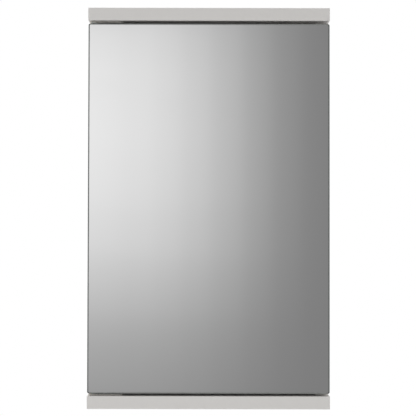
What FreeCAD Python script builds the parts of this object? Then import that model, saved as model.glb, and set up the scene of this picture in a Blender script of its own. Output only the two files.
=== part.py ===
"""Wall-hung bathroom cabinet with one full-front mirrored door, as a parametric FreeCAD document.

Frame: millimetres, +Z up, the mirror faces -Y, +X to the viewer's right. The origin is the middle of
the cabinet's footprint, on the underside of the bottom panel.

The carcass is 16 mm board: two slabs that run the full width and depth, and two sides set between
them, held by cam fittings and dowels. The door hangs between the slabs on a pin hinge at its upper
and lower left corners, and a magnetic push latch under the top slab holds its free edge.
"""

import FreeCAD
import Part
import os
import re
import Sketcher
from FreeCAD import Placement, Rotation, Vector

# Driving dimensions: alias, value, what it measures
DRIVING = [
    ("origin", 0, "level of the cabinet's underside, and middle of its footprint"),
    ("cab_width", 302, "width over the slabs"),
    ("cab_height", 500, "height over the slabs"),
    ("cab_depth", 130, "depth from the wall to the mirror"),
    ("board_thick", 16, "thickness of slabs, sides and rail"),
    ("edging_thick", 1, "plastic edge banding"),
    ("edge_round", 0.4, "rounding of the banding's arrises"),
    ("side_inset", 1, "side panels stand in from the slab ends"),
    ("mirror_thick", 4, "mirror pane"),
    ("mirror_corner", 2.5, "corner radius of the mirror pane"),
    ("mirror_arris", 1.2, "ground bevel round the mirror's front"),
    ("mirror_over", 0.8, "mirror stands over the door board at head and foot"),
    ("film_thick", 0.2, "safety film on the mirror's back"),
    ("film_inset", 1, "film stands in from the mirror's edge"),
    ("tape_thick", 0.8, "foam tape between mirror and door board"),
    ("tape_width", 20, "width of one strip of tape"),
    ("tape_inset", 15, "tape stands in from the door's edges"),
    ("door_board", 15, "thickness of the door board"),
    ("door_clear", 2, "gap between door and carcass"),
    ("top_gap", 4.5, "gap over the door"),
    ("base_gap", 3.8, "gap under the door"),
    ("door_margin", 0.3, "door is this much narrower each side"),
    ("back_inset", 12, "air space behind the back panel"),
    ("back_thick", 3, "back panel"),
    ("groove_deep", 6, "groove for the back panel"),
    ("groove_play", 0.2, "slack of the back panel in its groove"),
    ("groove_slack", 0.5, "back panel stops short of a groove's floor"),
    ("rail_drop", 60, "height of the hanging rail"),
    ("wall_hole", 5.5, "diameter of the wall screw holes"),
    ("wall_pitch", 192, "distance between the wall screw holes"),
    ("rail_dowel_edge", 15, "rail dowels in from the rail's edges"),
    ("shelf_thick", 5, "glass shelf"),
    ("shelf_corner", 3, "corner radius of a shelf"),
    ("shelf_arris", 0.6, "ground arris round a shelf"),
    ("shelf_clear", 2, "shelf stops short of the back panel"),
    ("shelf_play", 1.5, "slack at each end of a shelf"),
    ("shelf_setback", 5, "shelf stands behind the sides' front"),
    ("peg_dia", 5, "shelf peg"),
    ("peg_pitch", 32, "pitch of the peg holes"),
    ("peg_count", 10, "peg holes in each column"),
    ("peg_first", 96, "lowest peg hole over the bottom slab"),
    ("peg_front", 17, "front column behind the sides' front"),
    ("peg_spread", 64, "distance between the two columns"),
    ("peg_hole_deep", 11, "depth of a peg hole"),
    ("peg_stem", 9.5, "peg's stem in the board"),
    ("peg_chamfer", 0.6, "chamfer on the stem's end"),
    ("collar_thick", 1.2, "peg's collar"),
    ("collar_dia", 8, "diameter of that collar"),
    ("tab_reach", 11, "peg's tab reaches out from the board"),
    ("tab_width", 8, "width of that tab"),
    ("tab_thick", 1.6, "thickness of that tab"),
    ("pad_thick", 0.8, "soft pad on a tab"),
    ("pad_inset", 0.4, "pad stands in from the tab's edges"),
    ("pad_corner", 1.2, "corner radius of a pad"),
    ("lower_step", 2, "hole that carries the lower shelf"),
    ("upper_step", 6, "hole that carries the upper shelf"),
    ("cam_dia", 15, "bore for a cam lock"),
    ("cam_deep", 12.6, "depth of a cam lock's bore"),
    ("cam_setback", 24, "cam lock's centre from the panel end"),
    ("cam_front", 18, "front cam behind the sides' front"),
    ("cam_spread", 45, "distance between the two cams"),
    ("cam_body_dia", 14.8, "cam lock"),
    ("cam_body", 12.4, "length of a cam lock"),
    ("cam_floor", 0.6, "cam's wall behind its pocket"),
    ("cam_face", 4.2, "cam's face plate, over its pocket"),
    ("cam_pocket", 8, "width of the pocket for the bolt's head"),
    ("cam_pocket_back", 3.6, "pocket goes this far past the cam's middle"),
    ("cam_cross", 6.5, "span of the cam's cross recess"),
    ("cam_cross_arm", 1.4, "width of that recess's arms"),
    ("cam_cross_deep", 2.8, "depth of that recess"),
    ("cover_dia", 16.8, "cap over a cam lock"),
    ("cover_rise", 0.9, "height of a cap"),
    ("cover_rim", 0.4, "height of a cap's rim"),
    ("cover_slope", 0.8, "width of a cap's sloped edge"),
    ("cover_plug_dia", 2.2, "plug on a cap's back"),
    ("cover_plug", 2.4, "length of that plug"),
    ("cover_bore", 2.6, "bore for that plug in the cam"),
    ("bolt_bore", 8, "bore for a cam bolt in the panel end"),
    ("bolt_thread", 5, "thread of a cam bolt"),
    ("bolt_deep", 11.5, "bore for a cam bolt in a slab"),
    ("bolt_length", 26.8, "cam bolt's shank and head"),
    ("bolt_screwed", 11, "cam bolt's thread"),
    ("bolt_point_dia", 2.4, "flat point of that thread"),
    ("bolt_point", 1.4, "length of the thread's taper"),
    ("bolt_shank_dia", 5.8, "cam bolt's shank"),
    ("bolt_root_dia", 4.2, "neck between shank and thread"),
    ("bolt_root", 0.8, "length of the shank's upper taper"),
    ("bolt_lead", 0.6, "length of the thread's lower taper"),
    ("bolt_neck_dia", 3.8, "neck under the head"),
    ("bolt_neck", 5, "length of that neck"),
    ("bolt_taper", 1.1, "tapers at each end of the neck"),
    ("bolt_head_dia", 6.6, "head of a cam bolt"),
    ("bolt_head", 2.1, "length of that head"),
    ("bolt_end_dia", 4.4, "flat end of that head"),
    ("dowel_dia", 8, "wood dowel"),
    ("dowel_low", 13, "dowel's length in a panel's end"),
    ("dowel_high", 11.5, "dowel's length in a panel's face"),
    ("dowel_chamfer", 1, "chamfer on a dowel's ends"),
    ("flute_deep", 0.3, "depth of a dowel's glue flute"),
    ("flute_width", 0.6, "width of a glue flute"),
    ("dowel_deep", 12, "dowel hole in a panel's face"),
    ("dowel_end_deep", 13.5, "dowel hole in a panel's end"),
    ("fit_play", 0.1, "diametral slack of pegs, dowels, screws"),
    ("pivot_side", 5.5, "hinge axis in from the door's edge"),
    ("pivot_deep", 8, "hinge axis in from the door's back"),
    ("pin_dia", 5, "hinge pin"),
    ("pin_chamfer", 0.6, "chamfer on the pin's nose"),
    ("pivot_spare", 2, "pivot bore goes on past the pin"),
    ("bush_spare", 1.5, "bush's sleeve goes on past the pin"),
    ("pin_reach", 5, "pin stands this far into a slab"),
    ("bush_wall", 1, "wall of a hinge bush"),
    ("bush_flange", 0.6, "flange of a hinge bush"),
    ("bush_flange_dia", 9, "diameter of that flange"),
    ("plate_thick", 1.5, "hinge plates"),
    ("plate_width", 11.5, "width of a hinge plate"),
    ("plate_length", 44, "length of a hinge plate"),
    ("plate_end", 4.8, "hinge axis in from a plate's end"),
    ("plate_corner", 4.5, "corner radius of a hinge plate"),
    ("plate_screw", 17, "pitch of the screws along a plate"),
    ("screw_dia", 3.5, "countersunk screws"),
    ("screw_head", 6.4, "head of those screws"),
    ("screw_length", 13, "length of those screws"),
    ("screw_point", 2.5, "length of their points"),
    ("screw_deep", 12, "bore for those screws in a slab"),
    ("door_screw_deep", 10.5, "bore for those screws in the door"),
    ("recess_span", 3.6, "span of their cross recess"),
    ("recess_arm", 0.8, "width of that recess's arms"),
    ("recess_deep", 1.3, "depth of that recess"),
    ("latch_inset", 31, "latch axis in from the slab's end"),
    ("latch_drop", 16, "latch axis under the top slab"),
    ("barrel_dia", 14, "barrel of the latch"),
    ("plunger_dia", 10, "plunger of the latch"),
    ("plunger_length", 36, "length of the plunger"),
    ("latch_length", 56, "length of the latch housing"),
    ("latch_base", 3, "base plate of the latch housing"),
    ("latch_setback", 2, "latch stands behind the sides' front"),
    ("latch_reach", 23, "latch's plate reaches left of its axis"),
    ("latch_lip", 9, "latch's plate reaches right of its axis"),
    ("latch_corner", 3, "corner radius of that plate"),
    ("latch_web", 10, "web between plate and barrel"),
    ("latch_wall", 4, "end wall of the barrel"),
    ("latch_screw_side", 16, "latch screws left of its axis"),
    ("latch_screw_end", 12, "latch screws in from the plate's ends"),
    ("plunger_clear", 0.1, "plunger stands off the shut door"),
    ("plunger_play", 0.3, "diametral slack of the plunger"),
    ("plunger_wall", 2, "plunger's wall round the spring"),
    ("plunger_chamfer", 0.5, "chamfer on the plunger's tip"),
    ("spring_bore", 20, "depth of the spring's bore in the plunger"),
    ("spring_wire", 0.7, "wire of the latch spring"),
    ("spring_play", 0.7, "diametral slack of that spring"),
    ("spring_turns", 12, "turns of that spring"),
    ("magnet_dia", 8, "magnet in the plunger's tip"),
    ("magnet_thick", 3, "thickness of that magnet"),
    ("strike_dia", 13, "strike plate on the door"),
    ("strike_thick", 1.2, "thickness of the strike plate"),
    ("strike_bore", 2.6, "bore for the strike plate's screw"),
    ("strike_screw_dia", 2.4, "that screw"),
    ("strike_screw", 10, "length of that screw"),
    ("strike_point", 1.5, "length of its point"),
    ("bumper_dia", 8, "bumper on the door's back"),
    ("bumper_rise", 1.7, "height of a bumper"),
    ("bumper_rim", 0.8, "height of a bumper's rim"),
    ("bumper_low", 22, "lower bumper over the door's foot"),
    ("bumper_high", 60, "upper bumper under the door's head"),
]

# Places worked out from the driving dimensions
DERIVED = {
    "half_width": "cab_width / 2",
    "front": "-cab_depth / 2",
    "rear": "cab_depth / 2",
    "base_top": "board_thick",
    "lid_low": "cab_height - board_thick",
    "side_out": "half_width - side_inset",
    "side_in": "side_out - board_thick",
    "side_mid": "side_out - board_thick / 2",
    "mirror_back": "front + mirror_thick",
    "film_back": "mirror_back + film_thick",
    "board_front": "film_back + tape_thick",
    "door_back": "board_front + door_board",
    "side_front": "door_back + door_clear",
    "door_low": "base_top + base_gap",
    "door_high": "lid_low - top_gap",
    "door_half": "half_width - door_margin",
    "back_rear": "rear - back_inset",
    "back_front": "back_rear - back_thick",
    "rail_front": "back_front - board_thick",
    "rail_low": "lid_low - rail_drop",
    "wall_hole_high": "lid_low - rail_drop / 2",
    "cam_near": "side_front + cam_front",
    "cam_far": "cam_near + cam_spread",
    "dowel_place": "cam_near + cam_spread / 2",
    "rail_dowel_place": "rail_front + board_thick / 2",
    "rail_dowel_low": "rail_low + rail_dowel_edge",
    "rail_dowel_high": "lid_low - rail_dowel_edge",
    "peg_near": "side_front + peg_front",
    "peg_far": "peg_near + peg_spread",
    "peg_low": "base_top + peg_first",
    "pivot_x": "pivot_side - door_half",
    "pivot_y": "door_back - pivot_deep",
    "plate_left": "pivot_x - plate_end",
    "plate_back": "pivot_y + plate_width / 2",
    "screw_one": "pivot_x + plate_screw",
    "screw_two": "screw_one + plate_screw",
    "bush_bore": "pin_dia + fit_play",
    "bush_dia": "bush_bore + 2 * bush_wall",
    "latch_x": "half_width - latch_inset",
    "latch_z": "lid_low - latch_drop",
    "latch_front": "side_front + latch_setback",
    "latch_rear": "latch_front + latch_length",
    "latch_left": "latch_x - latch_reach",
    "latch_right": "latch_x + latch_lip",
    "latch_screw_x": "latch_x - latch_screw_side",
    "latch_screw_near": "latch_front + latch_screw_end",
    "latch_screw_far": "latch_rear - latch_screw_end",
    "plunger_front": "door_back + plunger_clear",
    "plunger_rear": "plunger_front + plunger_length",
    "spring_bore_front": "plunger_rear - spring_bore",
    "spring_bore_dia": "plunger_dia - 2 * plunger_wall",
    "latch_end_wall": "latch_rear - latch_wall",
}

doc = FreeCAD.newDocument("MirrorCabinet")
sheet = doc.addObject("Spreadsheet::Sheet", "Sizes")
for row, (alias, value, note) in enumerate(DRIVING, start=1):
    sheet.set(f"A{row}", alias)
    sheet.set(f"B{row}", str(value))
    sheet.set(f"C{row}", note)
    sheet.setAlias(f"B{row}", alias)
doc.recompute()
ALIASES = {alias for alias, value, note in DRIVING}


# ---------------------------------------------------------------- expressions

def full(text):
    """Writes an expression out in full, down to the cells of the sheet."""

    def word(match):
        name = match.group(0)
        if name in DERIVED:
            return f"({full(DERIVED[name])})"
        return f"Sizes.{name}" if name in ALIASES else name

    return re.sub(r"[a-z][a-z_]*[a-z]", word, text)


def number(text):
    """The present value of an expression."""
    return float(sheet.evalExpression(full(text)))


def drive(sketch, constraint, text):
    """Adds a dimension to a sketch and binds it to an expression."""
    index = sketch.addConstraint(constraint)
    sketch.setExpression(f"Constraints[{index}]", full(text))


# ---------------------------------------------------------------- sketches

# Each axis's origin plane, and which way that plane's normal runs along the axis
PLANES = {"x": ("YZ_Plane", 1), "y": ("XZ_Plane", -1), "z": ("XY_Plane", 1)}


def new_sketch(body, axis, place):
    """Adds an empty sketch that lies square to an axis at a place on it."""
    role, way = PLANES[axis]
    plane = next(item for item in body.Origin.OriginFeatures if item.Role == role)
    sketch = body.newObject("Sketcher::SketchObject", f"{body.Name}_sketch")
    sketch.AttachmentSupport = [(plane, "")]
    sketch.MapMode = "FlatFace"
    sketch.setExpression("AttachmentOffset.Base.z", f"{way} * ({full(place)})")
    return sketch


def pin_point(sketch, geometry, point, across, up):
    """Fixes one point of a sketch by its two distances from the origin."""
    for kind, text in (("DistanceX", across), ("DistanceY", up)):
        drive(sketch, Sketcher.Constraint(kind, -1, 1, geometry, point, number(text)), text)


def draw_polygon(sketch, corners):
    """Draws a closed outline through corners given as pairs of expressions."""
    spots = [Vector(number(across), number(up), 0) for across, up in corners]
    first = sketch.GeometryCount
    count = len(spots)
    for step, spot in enumerate(spots):
        sketch.addGeometry(Part.LineSegment(spot, spots[(step + 1) % count]))
    for step, (across, up) in enumerate(corners):
        following = first + (step + 1) % count
        sketch.addConstraint(Sketcher.Constraint("Coincident", first + step, 2, following, 1))
        pin_point(sketch, first + step, 1, across, up)


def draw_rectangle(sketch, low, high):
    """Draws a rectangle between two opposite corners."""
    draw_polygon(sketch, [low, (high[0], low[1]), high, (low[0], high[1])])


def draw_circle(sketch, centre, diameter):
    """Draws a circle of a driven diameter about a driven centre."""
    spot = Vector(number(centre[0]), number(centre[1]), 0)
    index = sketch.GeometryCount
    sketch.addGeometry(Part.Circle(spot, Vector(0, 0, 1), number(diameter) / 2))
    pin_point(sketch, index, 3, *centre)
    drive(sketch, Sketcher.Constraint("Diameter", index, number(diameter)), diameter)


# ---------------------------------------------------------------- features

NODES = []


def new_body(label, whole=True):
    """Starts a body; a whole one is a node of its own, any other is a piece of a group."""
    body = doc.addObject("PartDesign::Body", label)
    body.Label = label
    if whole:
        NODES.append(body)
    return body


def join(label, pieces):
    """Joins separate solids of one kind in a single node."""
    node = doc.addObject("Part::Compound", label)
    node.Links = pieces
    node.Label = label
    NODES.append(node)
    return node


def extrude(body, kind, sketch, axis, start, end):
    """Pads or pockets a sketch from its plane at start along an axis to end."""
    before = body.Shape.Volume if body.Tip else 0.0
    feature = body.newObject(f"PartDesign::{kind}", f"{body.Name}_{kind}")
    feature.Profile = sketch
    feature.setExpression("Length", full(f"{end} - ({start})"))
    with_normal = PLANES[axis][1] > 0
    feature.Reversed = with_normal if kind == "Pocket" else not with_normal
    doc.recompute()
    change = body.Shape.Volume - before
    if (change < 0) != (kind == "Pocket") or change == 0:
        raise RuntimeError(f"{feature.Name} changed the volume by {change}")
    return feature


def pad(body, axis, start, end, low, high):
    """Pads a rectangle between two places on an axis."""
    sketch = new_sketch(body, axis, start)
    draw_rectangle(sketch, low, high)
    return extrude(body, "Pad", sketch, axis, start, end)


def pad_round(body, axis, start, end, centre, diameter):
    """Pads a circle between two places on an axis."""
    sketch = new_sketch(body, axis, start)
    draw_circle(sketch, centre, diameter)
    return extrude(body, "Pad", sketch, axis, start, end)


def cut(body, axis, start, end, low, high):
    """Cuts a rectangular pocket between two places on an axis."""
    sketch = new_sketch(body, axis, start)
    draw_rectangle(sketch, low, high)
    return extrude(body, "Pocket", sketch, axis, start, end)


def drill(body, axis, start, end, centres, diameter):
    """Drills equal holes between two places on an axis."""
    sketch = new_sketch(body, axis, start)
    for centre in centres:
        draw_circle(sketch, centre, diameter)
    return extrude(body, "Pocket", sketch, axis, start, end)


def countersink(body, place, centres, upwards):
    """Drills screw holes right through a flat piece, countersunk at place."""
    before = body.Shape.Volume
    sketch = new_sketch(body, "z", place)
    for centre in centres:
        draw_circle(sketch, centre, "screw_dia + fit_play")
    hole = body.newObject("PartDesign::Hole", f"{body.Name}_Hole")
    hole.Profile = sketch
    doc.recompute()
    hole.Reversed = upwards
    hole.ThreadType = "None"
    hole.DepthType = "ThroughAll"
    hole.HoleCutType = "Countersink"
    hole.HoleCutCustomValues = True
    hole.HoleCutCountersinkAngle = 90
    hole.setExpression("Diameter", full("screw_dia + fit_play"))
    hole.setExpression("HoleCutDiameter", full("screw_head + fit_play"))
    doc.recompute()
    if not body.Shape.Volume < before:
        raise RuntimeError(f"{hole.Name} cut nothing")
    return hole


def edges_where(shape, test):
    """Names of the edges whose box passes a test."""
    return [f"Edge{index}" for index, edge in enumerate(shape.Edges, start=1) if test(edge.BoundBox)]


def dress(body, kind, size, test):
    """Fillets or chamfers the edges whose box passes a test."""
    base = body.Tip
    names = edges_where(base.Shape, test)
    if not names:
        raise RuntimeError(f"{body.Name} has no edge to {kind}")
    feature = body.newObject(f"PartDesign::{kind}", f"{body.Name}_{kind}")
    feature.Base = (base, names)
    feature.setExpression("Radius" if kind == "Fillet" else "Size", full(size))
    doc.recompute()
    return feature


def along(axis):
    """A test for straight edges that run along an axis."""
    others = [f"{letter}Length" for letter in "XYZ" if letter != axis.upper()]
    return lambda box: all(getattr(box, other) < 1e-6 for other in others)


def at_place(axis, text):
    """A test for edges that lie in a plane square to an axis."""
    place = number(text)
    low, high = f"{axis.upper()}Min", f"{axis.upper()}Max"
    return lambda box: abs(getattr(box, low) - place) < 1e-4 and abs(getattr(box, high) - place) < 1e-4


def turn(label, profile):
    """Revolves a profile of (radius, height) corners about the body's own Z axis."""
    body = new_body(label, whole=False)
    sketch = new_sketch(body, "y", "origin")
    draw_polygon(sketch, profile)
    feature = body.newObject("PartDesign::Revolution", f"{label}_turning")
    feature.Profile = sketch
    feature.ReferenceAxis = (sketch, ["V_Axis"])
    feature.Angle = FULL_TURN
    doc.recompute()
    return body


def cross_recess(body, place, span, width, depth):
    """Cuts a cross for a driver down into a head whose top is at place."""
    for long_side, short_side in ((span, width), (width, span)):
        low = (f"-({long_side}) / 2", f"-({short_side}) / 2")
        high = (f"({long_side}) / 2", f"({short_side}) / 2")
        cut(body, "z", f"{place} - {depth}", place, low, high)


def repeat(label, master, places):
    """Joins copies of a master body in one node; a place is (x, y, z, rotation)."""
    links = []
    for step, (across, deep, high, rotation) in enumerate(places, start=1):
        link = doc.addObject("App::Link", f"{label}_{step}")
        link.LinkedObject = master
        link.Placement = Placement(Vector(0, 0, 0), rotation)
        for letter, text in zip("xyz", (across, deep, high)):
            link.setExpression(f"Placement.Base.{letter}", full(text))
        links.append(link)
    return join(label, links)


UPRIGHT = Rotation()
UPSIDE_DOWN = Rotation(Vector(1, 0, 0), 180)
FACING_LEFT = Rotation(Vector(0, 1, 0), -90)
FACING_RIGHT = Rotation(Vector(0, 1, 0), 90)
FACING_BACK = Rotation(Vector(1, 0, 0), -90)
HALF_TURN = Rotation(Vector(0, 0, 1), 180)
MIRRORED = (("-1", FACING_RIGHT), ("1", FACING_LEFT))
FULL_TURN = 360


# ---------------------------------------------------------------- carcass boards

def slab(label, low, high, inner, way):
    """A top or bottom slab: core board, drilled on its inner face for everything fixed to it."""
    body = new_body(label)
    corner = ("-(half_width - edging_thick)", "front + edging_thick")
    pad(body, "z", low, high, corner, ("half_width - edging_thick", "rear"))
    groove = ("-(side_in + groove_deep)", "back_front"), ("side_in + groove_deep", "back_rear + groove_play")
    bolts = [(f"{side} * side_mid", place) for side in (-1, 1) for place in ("cam_near", "cam_far")]
    dowels = [(f"{side} * side_mid", "dowel_place") for side in (-1, 1)]
    screws = [("screw_one", "pivot_y"), ("screw_two", "pivot_y")]
    if way < 0:
        screws += [("latch_screw_x", "latch_screw_near"), ("latch_screw_x", "latch_screw_far")]

    def span(depth):
        edge = f"{inner} + {depth}" if way < 0 else f"{inner} - ({depth})"
        return (inner, edge) if way < 0 else (edge, inner)

    cut(body, "z", *span("groove_deep"), *groove)
    drill(body, "z", *span("bolt_deep"), bolts, "bolt_thread + fit_play")
    drill(body, "z", *span("dowel_deep"), dowels, "dowel_dia + fit_play")
    drill(body, "z", *span("screw_deep"), screws, "screw_dia + fit_play")
    drill(body, "z", *span("pin_reach + pivot_spare"), [("pivot_x", "pivot_y")], "bush_dia + fit_play")
    return body


def slab_edging(label, low, high):
    """Edge banding on a slab's front and ends, its outer arrises softened."""
    strips = []
    front_strip = new_body(f"{label}_front", whole=False)
    pad(front_strip, "z", low, high, ("-half_width", "front"), ("half_width", "front + edging_thick"))
    dress(front_strip, "Fillet", "edge_round", at_place("y", "front"))
    strips.append(front_strip)
    for side in (-1, 1):
        end_strip = new_body(f"{label}_end", whole=False)
        corners = [f"{side} * (half_width - edging_thick)", f"{side} * half_width"][::side]
        pad(end_strip, "z", low, high, (corners[0], "front + edging_thick"), (corners[1], "rear"))
        outer = at_place("x", f"{side} * half_width")
        lengthwise = along("y")
        dress(end_strip, "Fillet", "edge_round", lambda box: outer(box) and lengthwise(box))
        strips.append(end_strip)
    return join(label, strips)


def side_panel(label, side):
    """A side panel between the slabs, bored for cams, dowels, pegs and the back panel."""
    body = new_body(label)
    inner, outer = f"{side} * side_in", f"{side} * side_out"

    def span(depth):
        edge = f"{side} * (side_in + {depth})"
        return (inner, edge) if side > 0 else (edge, inner)

    ends = (inner, outer) if side > 0 else (outer, inner)
    front_face = "side_front + edging_thick"
    pad(body, "x", *ends, (front_face, "base_top"), ("rear", "lid_low"))
    cut(body, "x", *span("groove_deep"), ("back_front", "base_top"), ("back_rear + groove_play", "lid_low"))
    cams = [(place, level) for place in ("cam_near", "cam_far")
            for level in ("base_top + cam_setback", "lid_low - cam_setback")]
    drill(body, "x", *span("cam_deep"), cams, "cam_dia")
    rail = [("rail_dowel_place", "rail_dowel_low"), ("rail_dowel_place", "rail_dowel_high")]
    drill(body, "x", *span("dowel_deep"), rail, "dowel_dia + fit_play")
    bolts = [(f"{side} * side_mid", place) for place in ("cam_near", "cam_far")]
    dowel = [(f"{side} * side_mid", "dowel_place")]
    for low, high in (("base_top", "base_top + cam_setback"), ("lid_low - cam_setback", "lid_low")):
        drill(body, "z", low, high, bolts, "bolt_bore")
    for low, high in (("base_top", "base_top + dowel_end_deep"), ("lid_low - dowel_end_deep", "lid_low")):
        drill(body, "z", low, high, dowel, "dowel_dia + fit_play")
    pegs = drill(body, "x", *span("peg_hole_deep"), [("peg_near", "peg_low"), ("peg_far", "peg_low")],
                 "peg_dia + fit_play")
    column = body.newObject("PartDesign::LinearPattern", f"{label}_column")
    column.Originals = [pegs]
    column.Direction = (next(item for item in body.Origin.OriginFeatures if item.Role == "Z_Axis"), [""])
    column.Mode = "Spacing"
    column.setExpression("Offset", full("peg_pitch"))
    column.setExpression("Occurrences", full("peg_count"))
    body.Tip = column
    doc.recompute()
    return body


def side_edging(label):
    """Edge banding on the two side panels' front edges."""
    strips = []
    for side in (-1, 1):
        strip = new_body(f"{label}_strip", whole=False)
        corners = [f"{side} * side_in", f"{side} * side_out"][::side]
        pad(strip, "z", "base_top", "lid_low", (corners[0], "side_front"),
            (corners[1], "side_front + edging_thick"))
        front_face, upright = at_place("y", "side_front"), along("z")
        dress(strip, "Fillet", "edge_round", lambda box: front_face(box) and upright(box))
        strips.append(strip)
    return join(label, strips)


def back_panel(label):
    """Thin back board that stands in the grooves, with the two wall screw holes."""
    body = new_body(label)
    spread = "groove_deep - groove_slack"
    low = (f"-(side_in + {spread})", f"base_top - ({spread})")
    pad(body, "y", "back_front", "back_rear", low, (f"side_in + {spread}", f"lid_low + {spread}"))
    drill(body, "y", "back_front", "back_rear", WALL_HOLES, "wall_hole")
    return body


def hanging_rail(label):
    """Rail under the top slab that takes the wall screws."""
    body = new_body(label)
    pad(body, "y", "rail_front", "back_front", ("-side_in", "rail_low"), ("side_in", "lid_low"))
    dress(body, "Fillet", "edge_round", lambda box: along("x")(box) and at_place("z", "rail_low")(box))
    drill(body, "y", "rail_front", "back_front", WALL_HOLES, "wall_hole")
    ends = [("rail_dowel_place", "rail_dowel_low"), ("rail_dowel_place", "rail_dowel_high")]
    drill(body, "x", "-side_in", "-side_in + dowel_end_deep", ends, "dowel_dia + fit_play")
    drill(body, "x", "side_in - dowel_end_deep", "side_in", ends, "dowel_dia + fit_play")
    return body


WALL_HOLES = [("-wall_pitch / 2", "wall_hole_high"), ("wall_pitch / 2", "wall_hole_high")]

slab("top_panel", "lid_low", "cab_height", "lid_low", -1)
slab("bottom_panel", "origin", "base_top", "base_top", 1)
slab_edging("top_panel_edging", "lid_low", "cab_height")
slab_edging("bottom_panel_edging", "origin", "base_top")
side_panel("left_side_panel", -1)
side_panel("right_side_panel", 1)
side_edging("side_panel_edging")
back_panel("back_panel")
hanging_rail("hanging_rail")


# ---------------------------------------------------------------- shelves on pegs

def glass_shelf(label, step):
    """Tempered glass shelf with ground edges, lying on four padded pegs."""
    body = new_body(label)
    low = f"peg_low + {step} * peg_pitch + tab_thick / 2 + pad_thick"
    reach = "side_in - shelf_play"
    pad(body, "z", low, f"{low} + shelf_thick", (f"-({reach})", "side_front + shelf_setback"),
        (reach, "back_front - shelf_clear"))
    dress(body, "Fillet", "shelf_corner", along("z"))
    lower, upper = at_place("z", low), at_place("z", f"{low} + shelf_thick")
    dress(body, "Chamfer", "shelf_arris", lambda box: lower(box) or upper(box))
    return body


def shelf_peg(label):
    """One peg: stem for the hole, collar against the board, flat tab under the glass."""
    body = new_body(label, whole=False)
    middle = ("origin", "origin")
    pad_round(body, "x", "-peg_stem", "origin", middle, "peg_dia")
    pad_round(body, "x", "origin", "collar_thick", middle, "collar_dia")
    pad(body, "x", "collar_thick", "tab_reach", ("-tab_width / 2", "-tab_thick / 2"),
        ("tab_width / 2", "tab_thick / 2"))
    dress(body, "Chamfer", "peg_chamfer", at_place("x", "-peg_stem"))
    return body


def shelf_pad(label):
    """Soft pad between a peg's tab and the glass."""
    body = new_body(label, whole=False)
    half = "(tab_width / 2 - pad_inset)"
    pad(body, "z", "tab_thick / 2", "tab_thick / 2 + pad_thick", ("collar_thick + pad_inset", f"-{half}"),
        ("tab_reach - pad_inset", half))
    dress(body, "Fillet", "pad_corner", along("z"))
    return body


peg_places = [
    (f"{side} * side_in", column, f"peg_low + {step} * peg_pitch", HALF_TURN if side > 0 else UPRIGHT)
    for step in ("lower_step", "upper_step")
    for side in (-1, 1)
    for column in ("peg_near", "peg_far")
]
glass_shelf("lower_shelf", "lower_step")
glass_shelf("upper_shelf", "upper_step")
repeat("shelf_pegs", shelf_peg("shelf_peg"), peg_places)
repeat("shelf_pads", shelf_pad("shelf_pad"), peg_places)


# ---------------------------------------------------------------- cam fittings and dowels

def cam_lock(label):
    """Cam disc, its outer face at z = 0, hollowed for the bolt that comes in along +Y."""
    radius = "cam_body_dia / 2"
    body = turn(label, [("origin", "-cam_body"), (radius, "-cam_body"), (radius, "origin"),
                        ("origin", "origin")])
    cut(body, "z", "cam_floor - cam_body", "-cam_face", ("-cam_pocket / 2", "-cam_pocket_back"),
        ("cam_pocket / 2", "cam_pocket"))
    cross_recess(body, "origin", "cam_cross", "cam_cross_arm", "cam_cross_deep")
    drill(body, "z", "-cam_cross_deep", "origin", [("origin", "origin")], "cover_bore")
    return body


def cam_bolt(label):
    """Cam bolt: thread up into the slab, shank and head down into the cam."""
    shank, neck, head = "bolt_shank_dia / 2", "bolt_neck_dia / 2", "bolt_head_dia / 2"
    thread = "bolt_thread / 2"
    under_head = "bolt_taper + bolt_head - bolt_length"
    over_neck = f"{under_head} + bolt_taper + bolt_neck"
    profile = [("origin", "-bolt_length"), ("bolt_end_dia / 2", "-bolt_length"),
               (head, "bolt_taper - bolt_length"), (head, under_head), (neck, f"{under_head} + bolt_taper"),
               (neck, over_neck), (shank, f"{over_neck} + bolt_taper"), (shank, "-bolt_root"),
               ("bolt_root_dia / 2", "origin"), (thread, "bolt_lead"), (thread, "bolt_screwed - bolt_point"),
               ("bolt_point_dia / 2", "bolt_screwed"), ("origin", "bolt_screwed")]
    return turn(label, profile)


def cam_cover(label):
    """Plastic cap over a cam lock, with a short plug that holds it."""
    plug, rim = "cover_plug_dia / 2", "cover_dia / 2"
    return turn(label, [("origin", "-cover_plug"), (plug, "-cover_plug"), (plug, "origin"), (rim, "origin"),
                        (rim, "cover_rim"), (f"{rim} - cover_slope", "cover_rise"),
                        ("origin", "cover_rise")])


def fluted_dowel(label):
    """Beech dowel with glue flutes."""
    radius = "dowel_dia / 2"
    end = f"{radius} - dowel_chamfer"
    body = turn(label, [("origin", "-dowel_low"), (end, "-dowel_low"), (radius, "dowel_chamfer - dowel_low"),
                        (radius, "dowel_high - dowel_chamfer"), (end, "dowel_high"),
                        ("origin", "dowel_high")])
    flute = cut(body, "z", "-dowel_low", "dowel_high", (f"{radius} - flute_deep", "-flute_width / 2"),
                (f"{radius} + flute_deep", "flute_width / 2"))
    ring = body.newObject("PartDesign::PolarPattern", f"{label}_flutes")
    ring.Originals = [flute]
    ring.Axis = (next(item for item in body.Origin.OriginFeatures if item.Role == "Z_Axis"), [""])
    ring.Angle = FULL_TURN
    ring.Occurrences = FLUTES
    body.Tip = ring
    doc.recompute()
    return body


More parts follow.
